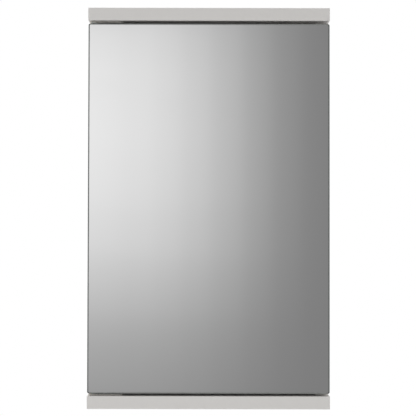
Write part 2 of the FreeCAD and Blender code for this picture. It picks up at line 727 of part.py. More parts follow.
FLUTES = 12
cam_places, bolt_places, dowel_places = [], [], []
for side, facing in MIRRORED:
    across = f"{side} * side_mid"
    for place in ("cam_near", "cam_far"):
        bolt_places.append((across, place, "lid_low", UPRIGHT))
        bolt_places.append((across, place, "base_top", UPSIDE_DOWN))
        turned_down = facing.multiply(HALF_TURN)
        quarter = Rotation(Vector(1, 0, 0), 90)
        cam_places.append((f"{side} * side_in", place, "lid_low - cam_setback", quarter.multiply(facing)))
        cam_places.append((f"{side} * side_in", place, "base_top + cam_setback",
                           quarter.multiply(turned_down)))
    dowel_places.append((across, "dowel_place", "lid_low", UPRIGHT))
    dowel_places.append((across, "dowel_place", "base_top", UPSIDE_DOWN))
    for level in ("rail_dowel_low", "rail_dowel_high"):
        outwards = FACING_LEFT if side == "-1" else FACING_RIGHT
        dowel_places.append((f"{side} * side_in", "rail_dowel_place", level, outwards))
repeat("cam_locks", cam_lock("cam_lock"), cam_places)
repeat("cam_covers", cam_cover("cam_cover"), cam_places)
repeat("cam_bolts", cam_bolt("cam_bolt"), bolt_places)
repeat("wood_dowels", fluted_dowel("wood_dowel"), dowel_places)


# ---------------------------------------------------------------- pin hinges

def screw(label):
    """Countersunk chipboard screw, its head flush at z = 0 and its point down."""
    core, head, tip = "screw_dia / 2", "screw_head / 2", "-screw_length"
    body = turn(label, [("origin", tip), (core, f"{tip} + screw_point"), (core, f"-({head} - {core})"),
                        (head, "origin"), ("origin", "origin")])
    cross_recess(body, "origin", "recess_span", "recess_arm", "recess_deep")
    return body


def hinge_plate(label, low, head_face, bore):
    """Hinge plate with two countersunk screw holes and a round hole on the hinge axis."""
    body = new_body(label)
    high = f"{low} + plate_thick"
    pad(body, "z", low, high, ("plate_left", "plate_back - plate_width"),
        ("plate_left + plate_length", "plate_back"))
    dress(body, "Fillet", "plate_corner", along("z"))
    drill(body, "z", low, high, [("pivot_x", "pivot_y")], bore)
    centres = [("screw_one", "pivot_y"), ("screw_two", "pivot_y")]
    countersink(body, high if head_face == "top" else low, centres, head_face != "top")
    return body


def hinge_bush(label):
    """Nylon bush: flange at z = 0 to -flange, sleeve above it round the pin."""
    top = "plate_thick + pin_reach + bush_spare"
    return turn(label, [("bush_bore / 2", "-bush_flange"), ("bush_flange_dia / 2", "-bush_flange"),
                        ("bush_flange_dia / 2", "origin"), ("bush_dia / 2", "origin"),
                        ("bush_dia / 2", top), ("bush_bore / 2", top)])


def hinge_pin(label, root):
    """Steel pin set in the door's plate; root is its depth under the flange's seat."""
    radius = "pin_dia / 2"
    top = "plate_thick + pin_reach"
    return turn(label, [("origin", f"-({root})"), (radius, f"-({root})"), (radius, f"{top} - pin_chamfer"),
                        (f"{radius} - pin_chamfer", top), ("origin", top)])


UPPER_SEAT = "lid_low - plate_thick"
LOWER_SEAT = "base_top + plate_thick"
hinge_plate("upper_hinge_slab_plate", UPPER_SEAT, "bottom", "bush_dia + fit_play")
hinge_plate("lower_hinge_slab_plate", "base_top", "top", "bush_dia + fit_play")
hinge_plate("upper_hinge_door_plate", "door_high", "top", "pin_dia")
hinge_plate("lower_hinge_door_plate", "door_low - plate_thick", "bottom", "pin_dia")
bush = hinge_bush("hinge_bush")
repeat("upper_hinge_bush", bush, [("pivot_x", "pivot_y", UPPER_SEAT, UPRIGHT)])
repeat("lower_hinge_bush", bush, [("pivot_x", "pivot_y", LOWER_SEAT, UPSIDE_DOWN)])
repeat("upper_hinge_pin", hinge_pin("long_hinge_pin", f"{UPPER_SEAT} - door_high"),
       [("pivot_x", "pivot_y", UPPER_SEAT, UPRIGHT)])
repeat("lower_hinge_pin", hinge_pin("short_hinge_pin", f"door_low - ({LOWER_SEAT})"),
       [("pivot_x", "pivot_y", LOWER_SEAT, UPSIDE_DOWN)])
wood_screw = screw("wood_screw")
repeat("hinge_slab_screws", wood_screw,
       [(place, "pivot_y", UPPER_SEAT, UPSIDE_DOWN) for place in ("screw_one", "screw_two")]
       + [(place, "pivot_y", LOWER_SEAT, UPRIGHT) for place in ("screw_one", "screw_two")])
repeat("hinge_door_screws", wood_screw,
       [(place, "pivot_y", "door_high + plate_thick", UPRIGHT) for place in ("screw_one", "screw_two")]
       + [(place, "pivot_y", "door_low - plate_thick", UPSIDE_DOWN)
          for place in ("screw_one", "screw_two")])


# ---------------------------------------------------------------- push latch

def latch_housing(label):
    """Housing screwed under the top slab: base plate, web and bored barrel."""
    body = new_body(label)
    base_low = "lid_low - latch_base"
    pad(body, "z", base_low, "lid_low", ("latch_left", "latch_front"), ("latch_right", "latch_rear"))
    dress(body, "Fillet", "latch_corner", along("z"))
    pad(body, "z", "latch_z", base_low, ("latch_x - latch_web / 2", "latch_front"),
        ("latch_x + latch_web / 2", "latch_rear"))
    pad_round(body, "y", "latch_front", "latch_rear", ("latch_x", "latch_z"), "barrel_dia")
    drill(body, "y", "latch_front", "latch_end_wall", [("latch_x", "latch_z")], "plunger_dia + plunger_play")
    countersink(body, base_low, [("latch_screw_x", "latch_screw_near"),
                                 ("latch_screw_x", "latch_screw_far")], True)
    return body


def latch_plunger(label):
    """Plunger: magnet seat in its tip and a blind bore for the spring in its tail."""
    body = new_body(label)
    centre = ("latch_x", "latch_z")
    pad_round(body, "y", "plunger_front", "plunger_rear", centre, "plunger_dia")
    dress(body, "Chamfer", "plunger_chamfer", at_place("y", "plunger_front"))
    drill(body, "y", "plunger_front", "plunger_front + magnet_thick", [centre], "magnet_dia")
    drill(body, "y", "spring_bore_front", "plunger_rear", [centre], "spring_bore_dia")
    return body


def plunger_magnet(label):
    """Disc magnet pressed into the plunger's tip."""
    body = new_body(label)
    pad_round(body, "y", "plunger_front", "plunger_front + magnet_thick", ("latch_x", "latch_z"),
              "magnet_dia")
    return body


def latch_spring(label):
    """Compression spring between the plunger and the housing's end wall, as it lies when latched."""
    wire = number("spring_wire / 2")
    coil = number("(spring_bore_dia - spring_play) / 2") - wire
    start, end = number("spring_bore_front") + 2 * wire, number("latch_end_wall") - 2 * wire
    helix = Part.makeHelix((end - start) / number("spring_turns"), end - start, coil)
    section = Part.Wire(Part.makeCircle(wire, Vector(coil, 0, 0), Vector(0, 1, 0)))
    shape = Part.Wire(helix.Edges).makePipeShell([section], True, True)
    node = doc.addObject("Part::Feature", label)
    node.Shape = shape
    node.Placement = Placement(Vector(number("latch_x"), start, number("latch_z")), FACING_BACK)
    node.Label = label
    NODES.append(node)
    return node


def strike_plate(label):
    """Steel disc let into the door board for the magnet."""
    body = new_body(label)
    centre = ("latch_x", "latch_z")
    pad_round(body, "y", "door_back - strike_thick", "door_back", centre, "strike_dia")
    drill(body, "y", "door_back - strike_thick", "door_back", [centre], "strike_bore")
    return body


latch_housing("latch_housing")
latch_plunger("latch_plunger")
plunger_magnet("plunger_magnet")
latch_spring("latch_spring")
repeat("latch_screws", wood_screw,
       [("latch_screw_x", place, "lid_low - latch_base", UPSIDE_DOWN)
        for place in ("latch_screw_near", "latch_screw_far")])
strike_plate("latch_strike_plate")
strike_radius = "strike_screw_dia / 2"
strike_pin = turn("strike_pin", [("origin", "-strike_screw"), (strike_radius, "strike_point - strike_screw"),
                                 (strike_radius, "origin"), ("origin", "origin")])
repeat("strike_plate_screw", strike_pin, [("latch_x", "door_back", "latch_z", FACING_BACK)])


# ---------------------------------------------------------------- door

def door_panel(label):
    """Door board, bored for the hinge screws and the strike plate."""
    body = new_body(label)
    reach, low, high = "door_half - edging_thick", "door_low + edging_thick", "door_high - edging_thick"
    pad(body, "y", "board_front", "door_back", (f"-({reach})", low), (reach, high))
    screws = [("screw_one", "pivot_y"), ("screw_two", "pivot_y")]
    drill(body, "z", low, f"{low} + door_screw_deep", screws, "screw_dia + fit_play")
    drill(body, "z", f"{high} - door_screw_deep", high, screws, "screw_dia + fit_play")
    centre = [("latch_x", "latch_z")]
    drill(body, "y", "door_back - strike_thick", "door_back", centre, "strike_dia + fit_play")
    drill(body, "y", "door_back - door_screw_deep", "door_back", centre, "strike_bore")
    return body


def door_edging(label):
    """Edge banding round the door board's four edges, its arrises softened."""
    strips = []
    corners = {
        "left": (("-door_half", "door_low"), ("-(door_half - edging_thick)", "door_high")),
        "right": (("door_half - edging_thick", "door_low"), ("door_half", "door_high")),
        "low": (("-(door_half - edging_thick)", "door_low"),
                ("door_half - edging_thick", "door_low + edging_thick")),
        "high": (("-(door_half - edging_thick)", "door_high - edging_thick"),
                 ("door_half - edging_thick", "door_high")),
    }
    outer = {"left": ("x", "-door_half"), "right": ("x", "door_half"),
             "low": ("z", "door_low"), "high": ("z", "door_high")}
    for name, (low, high) in corners.items():
        strip = new_body(f"{label}_{name}", whole=False)
        pad(strip, "y", "board_front", "door_back", low, high)
        on_face = at_place(*outer[name])
        lengthwise = along("z" if name in ("left", "right") else "x")
        dress(strip, "Fillet", "edge_round", lambda box: on_face(box) and lengthwise(box))
        if name in ("low", "high"):
            start, end = low[1], high[1]
            drill(strip, "z", start, end, [("screw_one", "pivot_y"), ("screw_two", "pivot_y")],
                  "screw_dia + fit_play")
        strips.append(strip)
    return join(label, strips)


def mirror_glass(label):
    """Mirror pane with rounded corners and a ground bevel round its front."""
    body = new_body(label)
    pad(body, "y", "front", "mirror_back", ("-door_half", "door_low - mirror_over"),
        ("door_half", "door_high + mirror_over"))
    dress(body, "Fillet", "mirror_corner", along("y"))
    dress(body, "Chamfer", "mirror_arris", at_place("y", "front"))
    return body


def mirror_film(label):
    """Safety film that covers the silvering."""
    body = new_body(label)
    reach = "door_half - film_inset"
    pad(body, "y", "mirror_back", "film_back", (f"-({reach})", "door_low + film_inset"),
        (reach, "door_high - film_inset"))
    return body


def tape_strip(label):
    """One upright strip of foam tape, centred on its own Z axis."""
    body = new_body(label, whole=False)
    pad(body, "y", "film_back", "board_front", ("-tape_width / 2", "door_low + tape_inset"),
        ("tape_width / 2", "door_high - tape_inset"))
    return body


door_panel("door_panel")
door_edging("door_edging")
mirror_glass("mirror_glass")
mirror_film("mirror_backing_film")
TAPES = 5
repeat("mirror_tape_strips", tape_strip("tape_strip"),
       [(f"(door_half - tape_inset - tape_width / 2) * {2 * step / (TAPES - 1) - 1}", "origin", "origin",
         UPRIGHT) for step in range(TAPES)])
bumper_edge = "bumper_dia / 2"
bumper = turn("door_bumper", [("origin", "origin"), (bumper_edge, "origin"), (bumper_edge, "bumper_rim"),
                              (f"{bumper_edge} - bumper_rim", "bumper_rise"), ("origin", "bumper_rise")])
repeat("door_bumpers", bumper,
       [("side_mid", "door_back", level, FACING_BACK)
        for level in ("door_low + bumper_low", "door_high - bumper_high")])


# ---------------------------------------------------------------- check and write

doc.recompute()
for item in doc.Objects:
    if "Invalid" in item.State or "Error" in item.State:
        raise RuntimeError(f"{item.Name} failed: {item.State}")
for node in NODES:
    if node.Shape.isNull() or not node.Shape.isValid() or not node.Shape.Solids:
        raise RuntimeError(f"{node.Label} has no valid solid")
os.makedirs("parts", exist_ok=True)
for node in NODES:
    node.Shape.exportStep(f"parts/{node.Label}.step")
    print(f"{node.Label}: {len(node.Shape.Solids)} solids, {node.Shape.Volume / 1000:.2f} cm3")
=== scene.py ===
"""Wall-hung bathroom cabinet with a full-front mirrored door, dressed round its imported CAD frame.

Metres, +Z up, the mirror faces -Y. Each sub-assembly is a class that models its pieces and gives
them their finishes; main() builds the classes in order.
"""

import logging
import math
from dataclasses import dataclass, field
from enum import Enum
from typing import Any, Callable, Sequence

import bmesh
import bpy
from mathutils import Matrix, Vector

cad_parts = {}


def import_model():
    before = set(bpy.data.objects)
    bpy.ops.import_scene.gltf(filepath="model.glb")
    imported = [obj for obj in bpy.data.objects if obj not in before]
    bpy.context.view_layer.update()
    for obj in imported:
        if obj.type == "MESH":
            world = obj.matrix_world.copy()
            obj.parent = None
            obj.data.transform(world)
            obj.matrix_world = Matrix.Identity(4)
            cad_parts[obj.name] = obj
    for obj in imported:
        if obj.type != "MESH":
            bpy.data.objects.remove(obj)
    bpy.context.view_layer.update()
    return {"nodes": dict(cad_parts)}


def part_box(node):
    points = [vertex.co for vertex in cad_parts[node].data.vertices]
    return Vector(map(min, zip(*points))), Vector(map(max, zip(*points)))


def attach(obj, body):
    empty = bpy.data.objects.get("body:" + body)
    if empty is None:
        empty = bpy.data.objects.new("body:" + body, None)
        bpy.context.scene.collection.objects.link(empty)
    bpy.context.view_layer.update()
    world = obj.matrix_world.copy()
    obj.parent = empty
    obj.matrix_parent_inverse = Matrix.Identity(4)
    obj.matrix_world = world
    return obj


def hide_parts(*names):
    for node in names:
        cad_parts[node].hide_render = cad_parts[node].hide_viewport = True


MM = 0.001
HAIR = 0.01 * MM
ALONG = 0.9
ACROSS = 0.1
BROAD_FACES_WIN = 100
Triple = tuple[float, float, float]
Colour = Triple
Profile = tuple[tuple[float, float], ...]
Test = Callable[[Vector, Vector], bool]
log = logging.getLogger("cabinet")


class Body(Enum):
    """The moving groups of the frame."""

    CABINET = "cabinet"
    DOOR = "door"
    PLUNGER = "plunger"


class Facing(Enum):
    """Which way a turned piece's own +Z points once it is set in place."""

    UP = Matrix.Identity(3)
    DOWN = Matrix.Rotation(math.pi, 3, "X")
    FRONT = Matrix.Rotation(math.pi / 2, 3, "X")
    REAR = Matrix.Rotation(-math.pi / 2, 3, "X")
    RIGHT = Matrix.Rotation(math.pi / 2, 3, "Y")
    LEFT = Matrix.Rotation(-math.pi / 2, 3, "Y")


# ---------------------------------------------------------------- bench: modelling by hand


def clear_selection() -> None:
    """Leaves edit mode and deselects everything."""
    if bpy.context.object and bpy.context.object.mode != "OBJECT":
        bpy.ops.object.mode_set(mode="OBJECT")
    bpy.ops.object.select_all(action="DESELECT")


def take_up(piece: bpy.types.Object) -> None:
    """Makes one piece the only selected and the active one.

    Args:
        piece: The piece to work on next.
    """
    clear_selection()
    piece.select_set(True)
    bpy.context.view_layer.objects.active = piece


def settle(piece: bpy.types.Object) -> None:
    """Writes the piece's place, turn and size into its mesh."""
    take_up(piece)
    bpy.ops.object.transform_apply(location=True, rotation=True, scale=True)


class Edit:
    """Edit mode on one piece, its faces and edges chosen by place and direction."""

    def __init__(self, piece: bpy.types.Object) -> None:
        """Keeps the mesh object to work on."""
        self.piece = piece

    def __enter__(self) -> "Edit":
        """Opens edit mode with nothing selected.

        Returns:
            This bench.
        """
        take_up(self.piece)
        bpy.ops.object.mode_set(mode="EDIT")
        bpy.ops.mesh.select_all(action="DESELECT")
        return self

    def __exit__(self, *trouble: object) -> None:
        """Goes back to object mode."""
        bpy.ops.object.mode_set(mode="OBJECT")

    def faces(self, test: Test) -> int:
        """Selects the faces whose centre and normal pass the test.

        Args:
            test: Takes the centre and the normal.

        Returns:
            How many faces are selected.
        """
        bpy.ops.mesh.select_mode(type="FACE")
        bpy.ops.mesh.select_all(action="DESELECT")
        shape = bmesh.from_edit_mesh(self.piece.data)
        chosen = [f for f in shape.faces if test(f.calc_center_median(), f.normal)]
        for face in chosen:
            face.select_set(True)
        bmesh.update_edit_mesh(self.piece.data)
        return len(chosen)

    def edges(self, test: Test) -> int:
        """Selects the edges whose middle and direction pass the test.

        Args:
            test: Takes the middle and the unit direction.

        Returns:
            How many edges are selected.
        """
        bpy.ops.mesh.select_mode(type="EDGE")
        bpy.ops.mesh.select_all(action="DESELECT")
        shape = bmesh.from_edit_mesh(self.piece.data)
        chosen = []
        for edge in shape.edges:
            start, end = (vert.co for vert in edge.verts)
            if test((start + end) / 2, (end - start).normalized()):
                chosen.append(edge)
        for edge in chosen:
            edge.select_set(True)
        bmesh.update_edit_mesh(self.piece.data)
        return len(chosen)

    def round_edges(self, test: Test, size: float, steps: int = 3) -> None:
        """Bevels the edges that pass the test.

        Args:
            test: Takes the middle and the unit direction.
            size: How far the bevel reaches.
            steps: In how many steps it turns.
        """
        if self.edges(test):
            bpy.ops.mesh.bevel(offset=size, segments=steps, profile=0.5, affect="EDGES")

    def round_corners(self, size: float, steps: int) -> None:
        """Bevels the upright edges."""
        self.round_edges(lambda place, way: abs(way.z) > ALONG, size, steps)

    def round_rims(self, low: float, high: float, size: float) -> None:
        """Bevels the level edges round the lower and the upper face.

        Args:
            low: Height of the lower face.
            high: Height of the upper face.
            size: How far the bevel reaches.
        """
        self.round_edges(lambda place, way: abs(way.z) < ACROSS
                         and min(abs(place.z - low), abs(place.z - high)) < HAIR, size)

    def remove_faces(self, test: Test) -> None:
        """Deletes the faces that pass the test."""
        if self.faces(test):
            bpy.ops.mesh.delete(type="FACE")

    def mend(self) -> None:
        """Merges doubled points and turns every face outwards."""
        bpy.ops.mesh.select_all(action="SELECT")
        bpy.ops.mesh.remove_doubles(threshold=HAIR / 10)
        bpy.ops.mesh.normals_make_consistent(inside=False)


def block(name: str, low: Sequence[float], high: Sequence[float]) -> bpy.types.Object:
    """Starts a piece as a box between two corners.

    Args:
        name: The piece's name.
        low: Its lowest corner.
        high: Its highest corner.

    Returns:
        The new object.
    """
    clear_selection()
    low, high = Vector(low), Vector(high)
    bpy.ops.mesh.primitive_cube_add(size=1, location=(low + high) / 2)
    piece = bpy.context.object
    piece.name = piece.data.name = name
    piece.scale = high - low
    settle(piece)
    return piece


def turned(name: str, profile: Profile | list[tuple[float, float]], sides: int = 32) -> bpy.types.Object:
    """Turns a closed piece on its own Z axis by drawing a disc up along a profile.

    Args:
        name: The piece's name.
        profile: (radius, height) in millimetres, from the bottom face to the last one.
        sides: Number of sides.

    Returns:
        The new object, at the origin.
    """
    clear_selection()
    radius, height = profile[0]
    bpy.ops.mesh.primitive_circle_add(vertices=sides, radius=radius * MM, fill_type="NGON",
                                      location=(0, 0, height * MM))
    piece = bpy.context.object
    piece.name = piece.data.name = name
    settle(piece)
    with Edit(piece):
        bpy.ops.mesh.select_all(action="SELECT")
        for wide, tall in profile[1:]:
            rise = (0, 0, (tall - height) * MM)
            bpy.ops.mesh.extrude_region_move(TRANSFORM_OT_translate={"value": rise})
            factor = wide / radius
            bpy.ops.transform.resize(value=(factor, factor, 1), center_override=(0, 0, tall * MM))
            radius, height = wide, tall
        bpy.ops.mesh.select_all(action="SELECT")
        bpy.ops.mesh.normals_make_consistent(inside=False)
    return piece


def put(piece: bpy.types.Object, centre: Sequence[float], facing: Facing = Facing.UP) -> None:
    """Sets a piece made at the origin in its place, and writes that into the mesh."""
    piece.matrix_world = Matrix.Translation(Vector(centre)) @ facing.value.to_4x4()
    settle(piece)


def copy_of(master: bpy.types.Object, name: str) -> bpy.types.Object:
    """Copies a piece with its own mesh.

    Args:
        master: The piece to copy.
        name: The copy's name.

    Returns:
        The copy.
    """
    take_up(master)
    bpy.ops.object.duplicate(linked=False)
    piece = bpy.context.object
    piece.name = piece.data.name = name
    return piece


def scrap(piece: bpy.types.Object) -> None:
    """Throws a helper piece away."""
    take_up(piece)
    bpy.ops.object.delete()


def apply_modifier(piece: bpy.types.Object, kind: str, **settings: Any) -> None:
    """Adds a modifier and applies it.

    Args:
        piece: The piece to change.
        kind: The modifier's type.
        settings: The modifier's own properties.
    """
    take_up(piece)
    modifier = piece.modifiers.new("work", kind)
    for key, value in settings.items():
        setattr(modifier, key, value)
    bpy.ops.object.modifier_apply(modifier=modifier.name)


def carve(piece: bpy.types.Object, cutter: bpy.types.Object) -> None:
    """Cuts one closed shape out of a piece and throws the cutter away."""
    apply_modifier(piece, "BOOLEAN", operation="DIFFERENCE", object=cutter, solver="EXACT")
    scrap(cutter)


def weld(name: str, parts: Sequence[bpy.types.Object]) -> bpy.types.Object:
    """Welds overlapping closed shapes into one skin.

    Args:
        name: The welded piece's name.
        parts: The shapes, the first of which stays.

    Returns:
        The welded piece.
    """
    whole = parts[0]
    for part in parts[1:]:
        apply_modifier(whole, "BOOLEAN", operation="UNION", object=part, solver="EXACT")
        scrap(part)
    whole.name = whole.data.name = name
    return whole


def smooth(piece: bpy.types.Object, angle: float = 32.0) -> None:
    """Shades a piece smooth, with its sharp edges kept and its broad faces flat.

    Args:
        piece: The piece to shade.
        angle: Edges sharper than this, in degrees, stay sharp.
    """
    take_up(piece)
    bpy.ops.object.shade_smooth_by_angle(angle=math.radians(angle))
    apply_modifier(piece, "WEIGHTED_NORMAL", keep_sharp=True, weight=BROAD_FACES_WIN)


# ---------------------------------------------------------------- node wiring


class Wiring:
    """Adds and joins nodes in one tree."""

    def __init__(self, tree: bpy.types.NodeTree) -> None:
        """Keeps the material's, world's or group's node tree."""
        self.tree = tree

    def node(self, kind: str, inputs: dict[Any, Any] | None = None, **settings: Any) -> bpy.types.Node:
        """Adds a node.

        Args:
            kind: The node's type.
            inputs: Values or sockets, by the input's name or number.
            settings: The node's own properties.

        Returns:
            The node.
        """
        node = self.tree.nodes.new(kind)
        for key, value in settings.items():
            setattr(node, key, value)
        for key, value in (inputs or {}).items():
            self.feed(node.inputs[key], value)
        return node

    def feed(self, socket: bpy.types.NodeSocket, value: Any) -> None:
        """Feeds an input.

        Args:
            socket: The input.
            value: A socket to link it to, or its value.
        """
        if isinstance(value, bpy.types.NodeSocket):
            self.tree.links.new(value, socket)
        elif socket.type == "RGBA" and len(value) == 3:
            socket.default_value = (*value, 1.0)
        else:
            socket.default_value = value

    def math(self, operation: str, *values: Any, clamp: bool = False) -> bpy.types.NodeSocket:
        """Returns the result of a Math node."""
        inputs = dict(enumerate(values))
        return self.node("ShaderNodeMath", inputs, operation=operation, use_clamp=clamp).outputs[0]

    def vector(self, operation: str, *values: Any, result: int = 0) -> bpy.types.NodeSocket:
        """Returns one result of a Vector Math node."""
        node = self.node("ShaderNodeVectorMath", dict(enumerate(values)), operation=operation)
        return node.outputs[result]

    def mix(self, share: Any, first: Any, second: Any, way: str = "MIX") -> bpy.types.NodeSocket:
        """Mixes two colours.

        Args:
            share: How much of the second.
            first: The first colour.
            second: The second colour.
            way: The blend type.

        Returns:
            The mixed colour.
        """
        inputs = {0: share, 6: first, 7: second}
        node = self.node("ShaderNodeMix", inputs, data_type="RGBA", blend_type=way, clamp_factor=True)
        return node.outputs[2]

    def span(self, value: Any, low: Any, high: Any, start: Any = 0.0, end: Any = 1.0,
             way: str = "LINEAR") -> bpy.types.NodeSocket:
        """Maps a value to another range and clamps it there.

        Args:
            value: The value.
            low: What becomes start.
            high: What becomes end.
            start: The result at low.
            end: The result at high.
            way: How it runs between them.

        Returns:
            The mapped value.
        """
        inputs = {"Value": value, "From Min": low, "From Max": high, "To Min": start, "To Max": end}
        return self.node("ShaderNodeMapRange", inputs, interpolation_type=way).outputs[0]

    def ramp(self, value: Any, stops: Sequence[tuple[float, float]]) -> bpy.types.NodeSocket:
        """Adds a smooth grey ramp.

        Args:
            value: Where to read the ramp, from 0 to 1.
            stops: Places on the ramp, each with its level.

        Returns:
            The level read there.
        """
        node = self.node("ShaderNodeValToRGB", {0: value})
        node.color_ramp.interpolation = "CARDINAL"
        elements = node.color_ramp.elements
        while len(elements) < len(stops):
            elements.new(0.5)
        for element, (place, level) in zip(elements, stops):
            element.position = place
            element.color = (level, level, level, 1.0)
        return node.outputs[0]

    def places(self, stretch: Sequence[float] = (1, 1, 1)) -> bpy.types.NodeSocket:
        """Returns the piece's own coordinates, stretched."""
        here = self.node("ShaderNodeTexCoord").outputs["Object"]
        return self.node("ShaderNodeMapping", {"Vector": here, "Scale": tuple(stretch)}).outputs[0]

    def noise(self, where: Any, scale: Any, detail: float = 3.0, rough: float = 0.55) -> bpy.types.NodeSocket:
        """Adds fractal noise.

        Args:
            where: The coordinates.
            scale: Its size, per metre.
            detail: How many finer layers it has.
            rough: How strong the finer layers are.

        Returns:
            The noise, from 0 to 1.
        """
        inputs = {"Vector": where, "Scale": scale, "Detail": detail, "Roughness": rough}
        return self.node("ShaderNodeTexNoise", inputs).outputs[0]

    def split(self, vector: Any) -> Sequence[bpy.types.NodeSocket]:
        """Returns a vector's three parts."""
        return self.node("ShaderNodeSeparateXYZ", {0: vector}).outputs

    def effect(self, effect: "Effect", inputs: dict[str, Any]) -> bpy.types.Node:
        """Places a shared effect.

        Args:
            effect: Which effect.
            inputs: Its own values or sockets, by the input's name.

        Returns:
            The group node.
        """
        node = self.node("ShaderNodeGroup")
        node.node_tree = shared_effect(effect)
        for key, value in inputs.items():
            self.feed(node.inputs[key], value)
        return node


class Effect(Enum):
    """Surface effects that several finishes share."""

    GRAIN = "fine_grain"
    # Mask along the arrises: rubbing, and a painted highlight of the edges.
    WEAR_AND_HIGHLIGHT = "edge_wear_and_highlight"
    DUST = "settled_dust"
    SMUDGE = "wipe_marks"
    SCRATCH = "hair_scratches"


def grain_effect(wire: Wiring, given: Sequence[Any]) -> dict[str, Any]:
    """Makes two sizes of grain: a cloudy tone and a fine height.

    Args:
        wire: The group's wiring.
        given: The group's inputs: coordinates, grain per metre, contrast.

    Returns:
        The group's outputs by name.
    """
    where, size, contrast = given
    cloudy = wire.noise(where, size, 4.0)
    fine = wire.noise(where, wire.math("MULTIPLY", size, 6.3), 2.0)
    both = wire.math("ADD", wire.math("MULTIPLY", cloudy, 0.65), wire.math("MULTIPLY", fine, 0.35))
    half = wire.math("MULTIPLY", contrast, 0.5)
    low, high = wire.math("SUBTRACT", 0.5, half), wire.math("ADD", 0.5, half)
    return {"Tone": wire.span(both, low, high), "Height": both}


def wear_and_highlight_effect(wire: Wiring, given: Sequence[Any]) -> dict[str, Any]:
    """Makes a mask along the arrises, broken up by noise, for rubbing and for a painted highlight.

    Args:
        wire: The group's wiring.
        given: The group's inputs: coordinates, radius of the arris, amount.

    Returns:
        The group's outputs by name.
    """
    where, radius, amount = given
    rounded = wire.node("ShaderNodeBevel", {"Radius": radius}, samples=4).outputs[0]
    plain = wire.node("ShaderNodeNewGeometry").outputs["Normal"]
    bend = wire.math("SUBTRACT", 1.0, wire.vector("DOT_PRODUCT", rounded, plain, result=1))
    patchy = wire.span(wire.noise(where, 260.0, 3.0), 0.38, 0.62)
    rubbed_and_highlit = wire.span(bend, 0.02, 0.30)
    worn_and_highlight = wire.math("MULTIPLY", wire.math("MULTIPLY", rubbed_and_highlit, patchy), amount, clamp=True)
    return {"Mask": worn_and_highlight}


def dust_effect(wire: Wiring, given: Sequence[Any]) -> dict[str, Any]:
    """Makes dust on faces that look up.

    Args:
        wire: The group's wiring.
        given: The group's inputs: coordinates, amount.

    Returns:
        The group's outputs by name.
    """
    where, amount = given
    up = wire.split(wire.node("ShaderNodeTexCoord").outputs["Normal"])[2]
    patchy = wire.span(wire.noise(where, 34.0, 5.0, 0.65), 0.3, 0.75)
    lying = wire.span(up, 0.55, 0.98, way="SMOOTHSTEP")
    return {"Mask": wire.math("MULTIPLY", wire.math("MULTIPLY", lying, patchy), amount, clamp=True)}


def smudge_effect(wire: Wiring, given: Sequence[Any]) -> dict[str, Any]:
    """Makes long faint wiping arcs and a few cloudy prints.

    Args:
        wire: The group's wiring.
        given: The group's inputs: coordinates, amount.

    Returns:
        The group's outputs by name.
    """
    where, amount = given
    swept = wire.node("ShaderNodeTexWave", {"Vector": where, "Scale": 5.5, "Distortion": 9.0,
                                            "Detail": 3.0, "Detail Scale": 1.4}, wave_type="RINGS")
    streak = wire.span(swept.outputs[1], 0.45, 0.95)
    cloud = wire.span(wire.noise(where, 14.0, 5.0, 0.6), 0.5, 0.78)
    return {"Mask": wire.math("MULTIPLY", wire.math("MULTIPLY", streak, cloud), amount, clamp=True)}


LINE_TURNS = ((0.3, 0.2, 0.5), (-0.4, 0.6, -0.9))
LINE_STRETCH = (1, 26, 26)


def scratch_effect(wire: Wiring, given: Sequence[Any]) -> dict[str, Any]:
    """Makes hair lines in two directions, with a fine height.

    Args:
        wire: The group's wiring.
        given: The group's inputs: coordinates, lines per metre.

    Returns:
        The group's outputs by name.
    """
    where, density = given
    marks = []
    for turn in LINE_TURNS:
        laid = wire.node("ShaderNodeMapping", {"Vector": where, "Rotation": turn, "Scale": LINE_STRETCH})
        lines = wire.noise(laid.outputs[0], density, 2.0)
        marks.append(wire.span(lines, 0.60, 0.72))
    both = wire.math("MAXIMUM", *marks)
    return {"Mask": both, "Height": wire.math("SUBTRACT", 1.0, both)}


EFFECT_PLAN: dict[Effect, tuple[Callable[..., dict[str, Any]], list[str], list[str]]] = {
    Effect.GRAIN: (grain_effect, ["Size", "Contrast"], ["Tone", "Height"]),
    Effect.WEAR_AND_HIGHLIGHT: (wear_and_highlight_effect, ["Radius", "Amount"], ["Mask"]),
    Effect.DUST: (dust_effect, ["Amount"], ["Mask"]),
    Effect.SMUDGE: (smudge_effect, ["Amount"], ["Mask"]),
    Effect.SCRATCH: (scratch_effect, ["Density"], ["Mask", "Height"]),
}


def shared_effect(effect: Effect) -> bpy.types.NodeTree:
    """Builds an effect's node group the first time it is asked for.

    Args:
        effect: Which effect.

    Returns:
        The node group.
    """
    known = bpy.data.node_groups.get(effect.value)
    if known:
        return known
    make, inputs, outputs = EFFECT_PLAN[effect]
    tree = bpy.data.node_groups.new(effect.value, "ShaderNodeTree")
    tree.interface.new_socket(name="Vector", in_out="INPUT", socket_type="NodeSocketVector")
    for name in inputs:
        tree.interface.new_socket(name=name, in_out="INPUT", socket_type="NodeSocketFloat")
    for name in outputs:
        tree.interface.new_socket(name=name, in_out="OUTPUT", socket_type="NodeSocketFloat")
    wire = Wiring(tree)
    given = wire.node("NodeGroupInput").outputs
    made = make(wire, [given[i] for i in range(len(inputs) + 1)])
    wire.node("NodeGroupOutput", made)
    return tree


# ---------------------------------------------------------------- finishes


